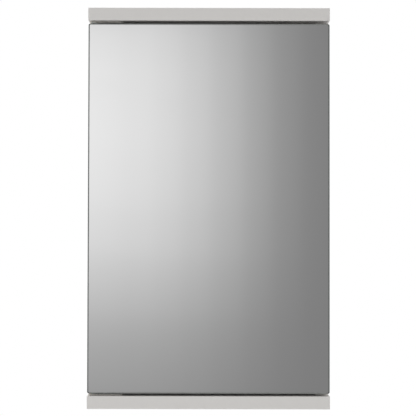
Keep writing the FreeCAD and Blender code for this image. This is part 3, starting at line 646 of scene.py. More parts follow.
SETTLED_DUST = (0.62, 0.60, 0.57)
RAW_FIBRE = ((0.20, 0.135, 0.08), (0.46, 0.35, 0.235))
BARE_HARDBOARD = ((0.185, 0.115, 0.065), (0.335, 0.225, 0.138))
BEECH_PORE = (0.34, 0.20, 0.11)
RIM_HAZE = (0.42, 0.45, 0.43)
BEVEL_REACH = 1.1 * MM
COAT_ROUGH = 0.12
SOFT_REACH = 2 * MM
ARRIS_REACH = 0.5 * MM
LINES_DULL, LINES_DEEP = 0.16, 0.6
RUBBING_DULLS, DUST_DULLS = 0.12, 0.3
GLASS_BENDING = 1.52
GLASS_GRAIN = 900.0
MARKED_SILVER = 0.985
RIM_CLOUDS, RIM_ROUGH = 90.0, 0.04
GLASS_SMUDGE, MIRROR_SMUDGE = 0.8, 0.7
MIRROR_ROUGH = (0.012, 0.045)


def blank(name: str, **constants: Any) -> tuple[bpy.types.Material, Wiring, bpy.types.Node]:
    """Starts a material with one Principled shader.

    Args:
        name: The material's name.
        constants: Plain values for the shader's sockets, with _ for a space.

    Returns:
        The material, its wiring and the shader node.
    """
    material = bpy.data.materials.new(f"{name}_finish")
    material.use_nodes = True
    wire = Wiring(material.node_tree)
    shader = material.node_tree.nodes["Principled BSDF"]
    for key, value in constants.items():
        wire.feed(shader.inputs[key.replace("_", " ")], value)
    return material, wire, shader


@dataclass(frozen=True)
class Finish:
    """A plain opaque finish with grain, lighter edges from rubbing and a painted highlight, dust and a fine
    relief.

    Attributes:
        name: The material's name.
        pale: Its lighter colour.
        deep: Its darker colour.
        size: Grain per metre.
        rough: Lowest and highest roughness.
        relief: Height of the relief in metres.
        stretch: Stretch of the grain along X, Y and Z.
        contrast: Small values make the tones harder.
        metallic: 1 for metals.
        worn_and_highlight: Colour along the arrises, lighter than the finish: rubbing, and a painted
            highlight.
        wear_and_highlight: Strength of the rubbing and of the painted edge highlight.
        dust: Strength of the dust.
        scratch: Hair scratches per metre, or 0.
        coat: Weight of a clear coat.
        soft: Weight of light scattered under the surface.
    """

    name: str
    pale: Colour
    deep: Colour
    size: float
    rough: tuple[float, float]
    relief: float
    stretch: Triple = (1.0, 1.0, 1.0)
    contrast: float = 0.5
    metallic: float = 0.0
    worn_and_highlight: Colour = (0.86, 0.85, 0.83)
    wear_and_highlight: float = 0.5
    dust: float = 0.0
    scratch: float = 0.0
    coat: float = 0.0
    soft: float = 0.0

    def colour(self, wire: Wiring, tone: Any) -> Any:
        """Mixes the finish's two colours by its grain.

        Args:
            wire: The material's wiring.
            tone: The grain, from 0 to 1.

        Returns:
            The colour before wear and dust.
        """
        return wire.mix(tone, self.deep, self.pale)

    def make(self) -> bpy.types.Material:
        """Builds the material.

        Returns:
            The material.
        """
        material, wire, shader = blank(self.name, Metallic=self.metallic, Coat_Weight=self.coat,
                                       Coat_Roughness=COAT_ROUGH, Subsurface_Weight=self.soft,
                                       Subsurface_Scale=SOFT_REACH)
        where = wire.places(self.stretch)
        grain = wire.effect(Effect.GRAIN, {"Vector": where, "Size": self.size, "Contrast": self.contrast})
        tone, height = grain.outputs
        colour = self.colour(wire, tone)
        rough = wire.span(tone, 0.0, 1.0, self.rough[1], self.rough[0])
        if self.scratch:
            lines = wire.effect(Effect.SCRATCH, {"Vector": wire.places(), "Density": self.scratch})
            rough = wire.math("ADD", rough, wire.math("MULTIPLY", lines.outputs[0], LINES_DULL))
            height = wire.math("ADD", height, wire.math("MULTIPLY", lines.outputs[1], LINES_DEEP))
        # Along the arrises the finish turns lighter: partly rubbing, partly a painted highlight of the edges.
        if self.wear_and_highlight:
            inputs = {"Vector": wire.places(), "Radius": ARRIS_REACH, "Amount": self.wear_and_highlight}
            rubbed_and_highlit = wire.effect(Effect.WEAR_AND_HIGHLIGHT, inputs).outputs[0]
            colour = wire.mix(rubbed_and_highlit, colour, self.worn_and_highlight)
            rough = wire.math("ADD", rough, wire.math("MULTIPLY", rubbed_and_highlit, RUBBING_DULLS))
        if self.dust:
            lying = wire.effect(Effect.DUST, {"Vector": wire.places(), "Amount": self.dust}).outputs[0]
            colour = wire.mix(lying, colour, SETTLED_DUST)
            rough = wire.math("ADD", rough, wire.math("MULTIPLY", lying, DUST_DULLS), clamp=True)
        wire.feed(shader.inputs["Base Color"], colour)
        wire.feed(shader.inputs["Roughness"], rough)
        bump = wire.node("ShaderNodeBump", {"Height": height, "Strength": 1.0, "Distance": self.relief})
        wire.feed(shader.inputs["Normal"], bump.outputs[0])
        return material


@dataclass(frozen=True)
class FoiledBoard(Finish):
    """Foiled fibreboard: foil on the two big faces, raw pressed fibre on every cut.

    Attributes:
        thickness: Which axis runs through the board, 0 to 2, or -1 where no cut shows.
    """

    thickness: int = 2

    def colour(self, wire: Wiring, tone: Any) -> Any:
        """Lays foil on the faces and brown fibre on the cuts.

        Args:
            wire: The material's wiring.
            tone: The grain, from 0 to 1.

        Returns:
            The colour before wear and dust.
        """
        if self.thickness < 0:
            return super().colour(wire, tone)
        normal = wire.split(wire.node("ShaderNodeTexCoord").outputs["Normal"])[self.thickness]
        cut = wire.math("LESS_THAN", wire.math("ABSOLUTE", normal), 0.5)
        fibres = wire.noise(wire.places((1.0, 1.0, 4.0)), 900.0, 4.0, 0.7)
        raw = wire.mix(wire.span(fibres, 0.35, 0.68), *RAW_FIBRE)
        return wire.mix(cut, super().colour(wire, tone), raw)


@dataclass(frozen=True)
class BackBoard(Finish):
    """Hardboard, lacquered white inside and bare with its screen pattern behind."""

    def colour(self, wire: Wiring, tone: Any) -> Any:
        """Lays lacquer on the inner face and leaves bare hardboard elsewhere.

        Args:
            wire: The material's wiring.
            tone: The grain, from 0 to 1.

        Returns:
            The colour before wear and dust.
        """
        normal = wire.split(wire.node("ShaderNodeTexCoord").outputs["Normal"])[1]
        bare = wire.math("GREATER_THAN", normal, -0.5)
        fibres = wire.span(wire.noise(wire.places(), 1300.0, 6.0, 0.7), 0.25, 0.75)
        cloth = wire.node("ShaderNodeTexBrick", {"Vector": wire.node("ShaderNodeMapping", {
            "Vector": wire.places(), "Rotation": (math.pi / 2, 0, 0)}).outputs[0], "Scale": 620.0,
            "Color1": (0.9, 0.9, 0.9), "Color2": (0.75, 0.75, 0.75), "Mortar": (0.45, 0.45, 0.45),
            "Mortar Size": 0.12}, offset=0.0)
        brown = wire.mix(fibres, *BARE_HARDBOARD)
        brown = wire.mix(0.35, brown, cloth.outputs[0], "MULTIPLY")
        return wire.mix(bare, super().colour(wire, tone), brown)


@dataclass(frozen=True)
class Beech(Finish):
    """Turned beech with fine rays along the dowel."""

    def colour(self, wire: Wiring, tone: Any) -> Any:
        """Lays darker pores in pale wood.

        Args:
            wire: The material's wiring.
            tone: The grain, from 0 to 1.

        Returns:
            The colour before wear and dust.
        """
        pores = wire.span(wire.noise(wire.places((1, 1, 0.08)), 2600.0, 2.0), 0.55, 0.75)
        return wire.mix(pores, super().colour(wire, tone), BEECH_PORE)


@dataclass(frozen=True)
class GroundRim(Finish):
    """The mirror's ground rim, with painted light along its top and bottom runs and painted shade darkest
    round its corners.

    Attributes:
        painted_lit_runs: Painted light: a paler colour on the top and bottom runs, where the slabs keep light
            off.
        turn: Painted shade: a near-black colour on the rounded corners.
    """

    painted_lit_runs: Colour = (0.27, 0.28, 0.275)
    turn: Colour = (0.018, 0.020, 0.019)

    def colour(self, wire: Wiring, tone: Any) -> Any:
        """Lays dark ground glass, with painted light where the rim looks up or down and painted shade where
        it turns.

        Args:
            wire: The material's wiring.
            tone: The grain, from 0 to 1.

        Returns:
            The colour before wear and dust.
        """
        across, _, up = wire.split(wire.node("ShaderNodeTexCoord").outputs["Normal"])
        # Painted light: the rim is lightened where it looks up or down, next to the slabs.
        level = wire.span(wire.math("ABSOLUTE", up), 0.45, 0.68, way="SMOOTHSTEP")
        # Painted shade: the rim goes near black where it turns round the corners.
        rounded = wire.span(wire.math("ABSOLUTE", wire.math("MULTIPLY", across, up)), 0.06, 0.20)
        ground = wire.mix(level, super().colour(wire, tone), self.painted_lit_runs)
        return wire.mix(rounded, ground, self.turn)


@dataclass(frozen=True)
class Glass:
    """Clear or ground glass.

    Attributes:
        name: The material's name.
        tint: Colour of the glass.
        rough: Lowest and highest roughness.
        relief: Height of the ripple in metres.
        clear: How much light passes; the rest is milky.
    """

    name: str
    tint: Colour
    rough: tuple[float, float]
    relief: float
    clear: float = 1.0

    def make(self) -> bpy.types.Material:
        """Builds the material.

        Returns:
            The material.
        """
        material, wire, shader = blank(self.name, IOR=GLASS_BENDING, Transmission_Weight=self.clear,
                                       Metallic=0.0)
        where = wire.places()
        marks = wire.effect(Effect.SMUDGE, {"Vector": where, "Amount": GLASS_SMUDGE}).outputs[0]
        grain = wire.effect(Effect.GRAIN, {"Vector": where, "Size": GLASS_GRAIN, "Contrast": 0.5})
        mixed = wire.math("MAXIMUM", marks, wire.math("MULTIPLY", grain.outputs[0], 0.5))
        wire.feed(shader.inputs["Roughness"], wire.span(mixed, 0.0, 1.0, *self.rough))
        pale = tuple(min(1.0, part * 1.02) for part in self.tint)
        wire.feed(shader.inputs["Base Color"], wire.mix(grain.outputs[0], self.tint, pale))
        bump = wire.node("ShaderNodeBump", {"Height": grain.outputs[1], "Strength": 1.0,
                                            "Distance": self.relief})
        wire.feed(shader.inputs["Normal"], bump.outputs[0])
        return material


@dataclass(frozen=True)
class Silvering:
    """The mirror's silvered face: a near perfect metal with faint wiping marks.

    Attributes:
        name: The material's name.
        silver: Colour of the reflection.
        edge: Width of the slightly hazed rim inside the bevel.
    """

    name: str = "mirror_silvering"
    silver: Colour = (0.892, 0.892, 0.893)
    edge: float = 1.6 * MM

    def make(self, low: Vector, high: Vector) -> bpy.types.Material:
        """Builds the material.

        Args:
            low: The pane's lowest corner.
            high: The pane's highest corner.

        Returns:
            The material.
        """
        material, wire, shader = blank(self.name, Metallic=1.0)
        where = wire.places()
        marks = wire.effect(Effect.SMUDGE, {"Vector": where, "Amount": MIRROR_SMUDGE}).outputs[0]
        across, _, up = wire.split(wire.node("ShaderNodeTexCoord").outputs["Object"])
        sides = wire.math("MINIMUM", wire.math("SUBTRACT", across, low.x),
                          wire.math("SUBTRACT", high.x, across))
        ends = wire.math("MINIMUM", wire.math("SUBTRACT", up, low.z), wire.math("SUBTRACT", high.z, up))
        inwards = wire.math("MINIMUM", sides, ends)
        rim = wire.span(inwards, BEVEL_REACH, BEVEL_REACH + self.edge, 1.0, 0.0)
        hazed = wire.math("MULTIPLY", wire.span(wire.noise(where, RIM_CLOUDS, 4.0), 0.3, 0.7), rim)
        clean = wire.mix(marks, self.silver, tuple(part * MARKED_SILVER for part in self.silver))
        colour = wire.mix(wire.math("MULTIPLY", hazed, 0.5), clean, RIM_HAZE)
        wire.feed(shader.inputs["Base Color"], colour)
        rough = wire.math("ADD", wire.span(marks, 0.0, 1.0, *MIRROR_ROUGH),
                          wire.math("MULTIPLY", rim, RIM_ROUGH))
        wire.feed(shader.inputs["Roughness"], rough)
        return material


WHITE = (0.792, 0.779, 0.765)
WHITE_DEEP = (0.769, 0.756, 0.742)


def board(name: str, thickness: int) -> FoiledBoard:
    """Chooses the white foil for a board.

    Args:
        name: The material's name.
        thickness: Which axis runs through the board, or -1 where no cut shows.

    Returns:
        The finish.
    """
    # The boards keep the default edge colour, lighter than the foil: a painted highlight on their arrises as
    # well as rubbing.
    return FoiledBoard(name, WHITE, WHITE_DEEP, 480.0, (0.36, 0.46), 0.012 * MM, dust=0.25,
                       wear_and_highlight=0.25, thickness=thickness)


BANDING = Finish("edge_banding", (0.802, 0.788, 0.774), (0.779, 0.765, 0.751), 700.0, (0.27, 0.38),
                 0.010 * MM, stretch=(1.0, 1.0, 0.35), wear_and_highlight=0.5, dust=0.2)
BACK = BackBoard("back_board", (0.80, 0.80, 0.785), (0.76, 0.76, 0.745), 300.0, (0.45, 0.6), 0.03 * MM,
                 wear_and_highlight=0.0)
NICKEL = Finish("nickel_plate", (0.74, 0.715, 0.675), (0.60, 0.575, 0.54), 260.0, (0.16, 0.34), 0.006 * MM,
                metallic=1.0, worn_and_highlight=(0.86, 0.84, 0.80), wear_and_highlight=0.8, scratch=190.0)
STEEL = Finish("plated_steel", (0.66, 0.67, 0.68), (0.50, 0.51, 0.525), 520.0, (0.24, 0.44), 0.010 * MM,
               metallic=1.0, worn_and_highlight=(0.80, 0.80, 0.80), wear_and_highlight=0.9, scratch=240.0)
SPRING = Finish("spring_steel", (0.52, 0.53, 0.55), (0.36, 0.37, 0.39), 900.0, (0.25, 0.42), 0.004 * MM,
                stretch=(1, 0.15, 1), metallic=1.0, worn_and_highlight=(0.7, 0.7, 0.7), wear_and_highlight=0.4)
ZINC = Finish("zinc_casting", (0.56, 0.565, 0.58), (0.40, 0.405, 0.42), 700.0, (0.42, 0.62), 0.03 * MM,
              metallic=1.0, worn_and_highlight=(0.72, 0.72, 0.73), wear_and_highlight=0.8)
MAGNET = Finish("magnet_nickel", (0.80, 0.785, 0.755), (0.68, 0.665, 0.64), 420.0, (0.10, 0.24),
                0.004 * MM, metallic=1.0, worn_and_highlight=(0.88, 0.87, 0.85), wear_and_highlight=0.5, scratch=150.0)
CAP_WHITE = Finish("white_plastic", (0.83, 0.83, 0.815), (0.79, 0.79, 0.775), 650.0, (0.30, 0.42),
                   0.012 * MM, wear_and_highlight=0.3, soft=0.06)
LATCH_GREY = Finish("latch_plastic", (0.69, 0.67, 0.60), (0.61, 0.59, 0.52), 900.0, (0.38, 0.52),
                    0.020 * MM, worn_and_highlight=(0.74, 0.74, 0.74), wear_and_highlight=0.5, soft=0.04)
NYLON = Finish("nylon", (0.80, 0.79, 0.74), (0.72, 0.71, 0.655), 700.0, (0.34, 0.48), 0.010 * MM,
               wear_and_highlight=0.2, soft=0.15)
WOOD = Beech("beech", (0.69, 0.50, 0.32), (0.56, 0.38, 0.225), 420.0, (0.55, 0.7), 0.03 * MM,
             stretch=(1, 1, 0.12), wear_and_highlight=0.0)
FILM = Finish("backing_film", (0.43, 0.45, 0.47), (0.34, 0.36, 0.38), 160.0, (0.38, 0.55), 0.02 * MM,
              wear_and_highlight=0.0, coat=0.2)
FOAM = Finish("foam_tape", (0.74, 0.74, 0.72), (0.50, 0.50, 0.49), 2600.0, (0.8, 0.95), 0.08 * MM,
              contrast=0.3, wear_and_highlight=0.0)
SHELF_FACE = Glass("shelf_glass_face", (0.94, 0.985, 0.965), (0.0, 0.045), 0.001 * MM)
SHELF_EDGE = Glass("shelf_glass_edge", (0.70, 0.88, 0.81), (0.10, 0.24), 0.010 * MM, 0.70)
SOFT_CLEAR = Glass("clear_rubber", (0.86, 0.87, 0.85), (0.20, 0.36), 0.010 * MM, 0.45)
# Its default run and turn colours are painted light on the top and bottom runs and painted shade round the
# corners.
GROUND_RIM = GroundRim("mirror_ground_rim", (0.155, 0.165, 0.161), (0.095, 0.104, 0.100), 1500.0,
                       (0.30, 0.5), 0.010 * MM, worn_and_highlight=(0.34, 0.36, 0.35), wear_and_highlight=0.3)
MIRROR_PAINT = Finish("mirror_paint", (0.30, 0.31, 0.32), (0.24, 0.25, 0.26), 300.0, (0.45, 0.6),
                      0.015 * MM, wear_and_highlight=0.0)


MADE: dict[str, bpy.types.Material] = {}


def material_of(finish: Finish | Glass) -> bpy.types.Material:
    """Builds a finish's material the first time it is asked for.

    Args:
        finish: The finish.

    Returns:
        Its material.
    """
    if finish.name not in MADE:
        MADE[finish.name] = finish.make()
    return MADE[finish.name]


def dress_piece(piece: bpy.types.Object, *finishes: bpy.types.Material) -> None:
    """Gives a piece its materials and leaves each face's slot as it is.

    Args:
        piece: The piece.
        finishes: The materials, in the order of the slots.
    """
    kept = [face.material_index for face in piece.data.polygons]
    piece.data.materials.clear()
    for material in finishes:
        piece.data.materials.append(material)
    for face, index in zip(piece.data.polygons, kept):
        face.material_index = min(index, len(finishes) - 1)


def choose_slot(piece: bpy.types.Object, index: int, test: Test) -> None:
    """Gives some faces another material slot.

    Args:
        piece: The piece.
        index: The slot's number.
        test: Takes the face's centre and normal.
    """
    for face in piece.data.polygons:
        if test(face.center, face.normal):
            face.material_index = index


def hand_over(piece: bpy.types.Object, body: Body, slot: str, *nodes: str) -> None:
    """Hangs a finished piece on its moving body, hides the CAD nodes that it stands for, and logs it.

    Args:
        piece: The piece.
        body: What it moves with.
        slot: Not used.
        nodes: The CAD nodes that it stands for.
    """
    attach(piece, body.value)
    if nodes:
        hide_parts(*nodes)
    log.info("%s on %s: %d faces", piece.name, body.value, len(piece.data.polygons))


def paint(nodes: dict[str, bpy.types.Object], finish: Finish | Glass, *names: str) -> None:
    """Gives CAD nodes their finish in place of the plain one.

    Args:
        nodes: The frame's nodes by name.
        finish: The finish.
        names: Which nodes.
    """
    for name in names:
        materials = nodes[name].data.materials
        for index in range(len(materials)):
            materials[index] = material_of(finish)


# ---------------------------------------------------------------- carcass


@dataclass
class Carcass:
    """White board carcass: banded slabs and sides, back board and hanging rail."""

    banding: float = 1.0 * MM
    arris: float = 0.4 * MM

    def slab_banding(self, name: str, node: str) -> bpy.types.Object:
        """Bends one strip of banding round a slab's front and ends.

        Args:
            name: The piece's name.
            node: The CAD node that it stands for.

        Returns:
            The banding.
        """
        low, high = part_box(node)
        piece = block(name, low, high)
        with Edit(piece) as edit:
            edit.remove_faces(lambda place, normal: abs(normal.z) > ALONG or normal.y > ALONG)
        apply_modifier(piece, "SOLIDIFY", thickness=self.banding, offset=-1.0, use_even_offset=True)

        def outer(place: Vector, way: Vector) -> bool:
            """Whether an edge runs along the strip's outside."""
            on_end = abs(abs(place.x) - high.x) < HAIR
            return (on_end or place.y - low.y < HAIR) and place.y < high.y - HAIR

        with Edit(piece) as edit:
            edit.mend()
            edit.round_edges(outer, self.arris, 4)
        smooth(piece)
        dress_piece(piece, material_of(BANDING))
        return piece

    def side_banding(self, name: str, left: bool) -> bpy.types.Object:
        """Bands the front edge of one side panel.

        Args:
            name: The piece's name.
            left: True for the left side panel.

        Returns:
            The banding.
        """
        low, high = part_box("side_panel_edging")
        panel_low, panel_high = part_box("left_side_panel" if left else "right_side_panel")
        piece = block(name, (panel_low.x, low.y, low.z), (panel_high.x, high.y, high.z))
        with Edit(piece) as edit:
            edit.round_edges(lambda place, way: abs(way.z) > ALONG and place.y - low.y < HAIR, self.arris, 4)
            edit.faces(lambda place, normal: normal.y < -ALONG)
            bpy.ops.mesh.inset(thickness=2 * MM)
        smooth(piece)
        dress_piece(piece, material_of(BANDING))
        return piece

    def build(self, nodes: dict[str, bpy.types.Object]) -> None:
        """Models the banding and paints the boards.

        Args:
            nodes: The frame's nodes by name.
        """
        for name, node in (("top_banding", "top_panel_edging"), ("base_banding", "bottom_panel_edging")):
            hand_over(self.slab_banding(name, node), Body.CABINET, "edge_banding", node)
        for name, left in (("left_banding", True), ("right_banding", False)):
            hand_over(self.side_banding(name, left), Body.CABINET, "edge_banding", "side_panel_edging")
        paint(nodes, board("foil_board_flat", 2), "top_panel", "bottom_panel")
        paint(nodes, board("foil_board_side", 0), "left_side_panel", "right_side_panel")
        paint(nodes, board("foil_board_rail", 1), "hanging_rail")
        paint(nodes, BACK, "back_panel")


# ---------------------------------------------------------------- shelves


@dataclass
class Shelving:
    """Two glass shelves on padded pegs."""

    corner: float = 3.0 * MM
    edge: float = 0.6 * MM
    columns: tuple[float, float] = (-26 * MM, 38 * MM)
    pad_lift: float = 1.6 * MM
    tab: Triple = (11.0, 4.0, 0.8)
    tab_nose: float = 3.0 * MM
    tab_arris: float = 0.22 * MM
    pad_low: Triple = (1.6, -3.6, 0.8)
    pad_high: Triple = (10.6, 3.6, 1.6)
    pad_corner: float = 2.4 * MM
    pad_arris: float = 0.25 * MM
    stem_line: Profile = ((1.9, -9.5), (2.5, -8.9), (2.5, -0.3), (2.3, 0.0), (3.6, 0.0), (4.0, 0.3),
                          (4.0, 0.9), (3.7, 1.2))

    def shelf(self, name: str, node: str) -> bpy.types.Object:
        """Models a shelf with rounded corners and a ground edge.

        Args:
            name: The piece's name.
            node: The CAD node that it stands for.

        Returns:
            The shelf.
        """
        low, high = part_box(node)
        piece = block(name, low, high)
        with Edit(piece) as edit:
            edit.round_corners(self.corner, 8)
            edit.round_rims(low.z, high.z, self.edge)
        choose_slot(piece, 1, lambda place, normal: abs(normal.z) < 0.95)
        smooth(piece, 25)
        dress_piece(piece, material_of(SHELF_FACE), material_of(SHELF_EDGE))
        return piece

    def peg(self) -> bpy.types.Object:
        """Models a peg: plain stem, domed collar and a flat tab, pointing along +X.

        Returns:
            The master peg.
        """
        stem = turned("peg", self.stem_line, 28)
        put(stem, (0, 0, 0), Facing.RIGHT)
        long, wide, half = (size * MM for size in self.tab)
        tab = block("tab", (half, -wide, -half), (long, wide, half))
        with Edit(tab) as edit:
            edit.round_edges(lambda place, way: abs(way.z) > ALONG and place.x > long - HAIR,
                             self.tab_nose, 8)
            edit.round_rims(-half, half, self.tab_arris)
        piece = weld("peg_master", [stem, tab])
        smooth(piece)
        dress_piece(piece, material_of(NICKEL))
        return piece

    def pad(self) -> bpy.types.Object:
        """Models the soft pad between a tab and the glass, pointing along +X.

        Returns:
            The master pad.
        """
        low, high = Vector(self.pad_low) * MM, Vector(self.pad_high) * MM
        piece = block("pad_master", low, high)
        with Edit(piece) as edit:
            edit.round_corners(self.pad_corner, 6)
            edit.round_edges(lambda place, way: place.z > high.z - HAIR, self.pad_arris)
        smooth(piece)
        dress_piece(piece, material_of(SOFT_CLEAR))
        return piece

    def build(self, nodes: dict[str, bpy.types.Object]) -> None:
        """Models the shelves and sets pegs and pads under them.

        Args:
            nodes: Not used.
        """
        peg, pad = self.peg(), self.pad()
        inner = abs(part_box("left_side_panel")[1].x)
        count = 0
        for node, name in (("lower_shelf", "lower_glass_shelf"), ("upper_shelf", "upper_glass_shelf")):
            hand_over(self.shelf(name, node), Body.CABINET, "shelf_glass", node)
            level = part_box(node)[0].z - self.pad_lift
            for side in (-1, 1):
                for column in self.columns:
                    count += 1
                    turn = Matrix.Rotation(math.pi if side > 0 else 0.0, 4, "Z")
                    for master, label, slot, stands_for in (
                            (peg, "peg", "nickel_plate", "shelf_pegs"),
                            (pad, "pad", "clear_rubber", "shelf_pads")):
                        piece = copy_of(master, f"shelf_{label}_{count}")
                        piece.matrix_world = Matrix.Translation((side * inner, column, level)) @ turn
                        settle(piece)
                        hand_over(piece, Body.CABINET, slot, stands_for)
        scrap(peg)
        scrap(pad)


# ---------------------------------------------------------------- fittings


@dataclass
class Fittings:
    """Cam covers, cams, bolts and dowels."""

    cam_rows: tuple[float, float] = (-25 * MM, 20 * MM)
    cam_setback: float = 24 * MM
    cover_line: Profile = ((1.1, -2.4), (1.1, 0.0), (8.2, 0.0), (8.4, 0.15), (8.4, 0.42), (8.25, 0.62),
                           (7.9, 0.76), (7.2, 0.84), (5.6, 0.88), (3.6, 0.9), (3.0, 0.86), (2.2, 0.72),
                           (1.2, 0.64), (0.4, 0.62))

    def cover(self) -> bpy.types.Object:
        """Models a cam cover: thin domed cap with a thumb dimple and a plug behind.

        Returns:
            The master cover.
        """
        piece = turned("cover_master", self.cover_line, 40)
        smooth(piece, 40)
        dress_piece(piece, material_of(CAP_WHITE))
        return piece

    def build(self, nodes: dict[str, bpy.types.Object]) -> None:
        """Sets the cam covers and paints what lies hidden in the boards.

        Args:
            nodes: The frame's nodes by name.
        """
        cover = self.cover()
        low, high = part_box("left_side_panel")
        count = 0
        for side, facing in ((-1, Facing.RIGHT), (1, Facing.LEFT)):
            for row in self.cam_rows:
                for level in (low.z + self.cam_setback, high.z - self.cam_setback):
                    count += 1
                    piece = copy_of(cover, f"cam_cover_{count}")
                    put(piece, (side * abs(high.x), row, level), facing)
                    hand_over(piece, Body.CABINET, "white_plastic", "cam_covers")
        scrap(cover)
        paint(nodes, ZINC, "cam_locks")
        paint(nodes, STEEL, "cam_bolts")
        paint(nodes, WOOD, "wood_dowels")


def cross_cutter(wide: float, arm: float, deep: float, top: float) -> bpy.types.Object:
    """Makes the tapered cross that cuts a screw's recess.

    Args:
        wide: Span of the cross in millimetres.
        arm: Width of one arm.
        deep: Depth of the recess.
        top: Height of the screw's head.

    Returns:
        The closed cutter.
    """
    half, narrow = wide / 2 * MM, arm / 2 * MM
    floor, brim = (top - deep) * MM, (top + 0.5) * MM
    piece = block("cross", (-narrow, -narrow, floor), (narrow, narrow, brim))
    for ahead in (Vector((1, 0, 0)), Vector((-1, 0, 0)), Vector((0, 1, 0)), Vector((0, -1, 0))):
        with Edit(piece) as edit:
            edit.faces(lambda place, normal: normal.dot(ahead) > ALONG)
            bpy.ops.mesh.extrude_region_move(TRANSFORM_OT_translate={"value": ahead * (half - narrow)})
    with Edit(piece) as edit:
        edit.faces(lambda place, normal: normal.z < -ALONG)
        bpy.ops.transform.resize(value=(0.5, 0.5, 1), center_override=(0, 0, floor))
        edit.mend()
    return piece


def countersink(piece: bpy.types.Object, centre: Sequence[float], facing: Facing, deep: float) -> None:
    """Bores a countersunk screw hole in a plate.

    Args:
        piece: The plate.
        centre: Middle of the screw's head.
        facing: Where the head looks.
        deep: How far the hole goes in, in millimetres.
    """
    cutter = turned("sink", [(1.9, -deep), (1.9, -1.35), (3.3, 0.05), (3.3, 0.6)], 32)
    put(cutter, centre, facing)
    carve(piece, cutter)


@dataclass
class Screws:
    """Countersunk cross-head screws, modelled once and set wherever a fitting needs one."""

    length: float = 13.0
    head: float = 3.2
    core: float = 1.75
    pitch: float = 1.3
    tip: float = 2.2
    thread_end: float = -4.2
    root: float = 0.45
    master: bpy.types.Object | None = field(default=None, repr=False)

    def model(self) -> bpy.types.Object:
        """Models the screw with its head flush at the origin and its point down.

        Returns:
            The master screw.
        """
        height = self.tip - self.length
        profile = [(0.15, -self.length), (self.core - 0.55, height)]
        while height < self.thread_end:
            profile += [(self.core - self.root, height + 0.5), (self.core, height + 0.85)]
            height += self.pitch
            profile.append((self.core - self.root, height))
        profile += [(self.core - 0.35, -2.6), (self.core - 0.3, -1.8), (self.head - 0.15, -0.2),
                    (self.head, -0.08), (self.head - 0.12, 0.0), (2.4, 0.0)]
        piece = turned("screw_master", profile, 28)
        carve(piece, cross_cutter(3.6, 0.85, 1.4, 0.0))
        smooth(piece, 35)
        dress_piece(piece, material_of(STEEL))
        return piece

    def drive(self, name: str, centre: Sequence[float], facing: Facing, body: Body, node: str) -> None:
        """Sets one screw.

        Args:
            name: The screw's name.
            centre: Middle of its head.
            facing: Where its head looks.
            body: What it moves with.
            node: The CAD node that it belongs to.
        """
        if self.master is None:
            self.master = self.model()
        piece = copy_of(self.master, name)
        put(piece, centre, facing)
        hand_over(piece, body, "plated_steel", node)

    def put_away(self) -> None:
        """Throws the master away once every screw is set."""
        if self.master is not None:
            scrap(self.master)
            self.master = None


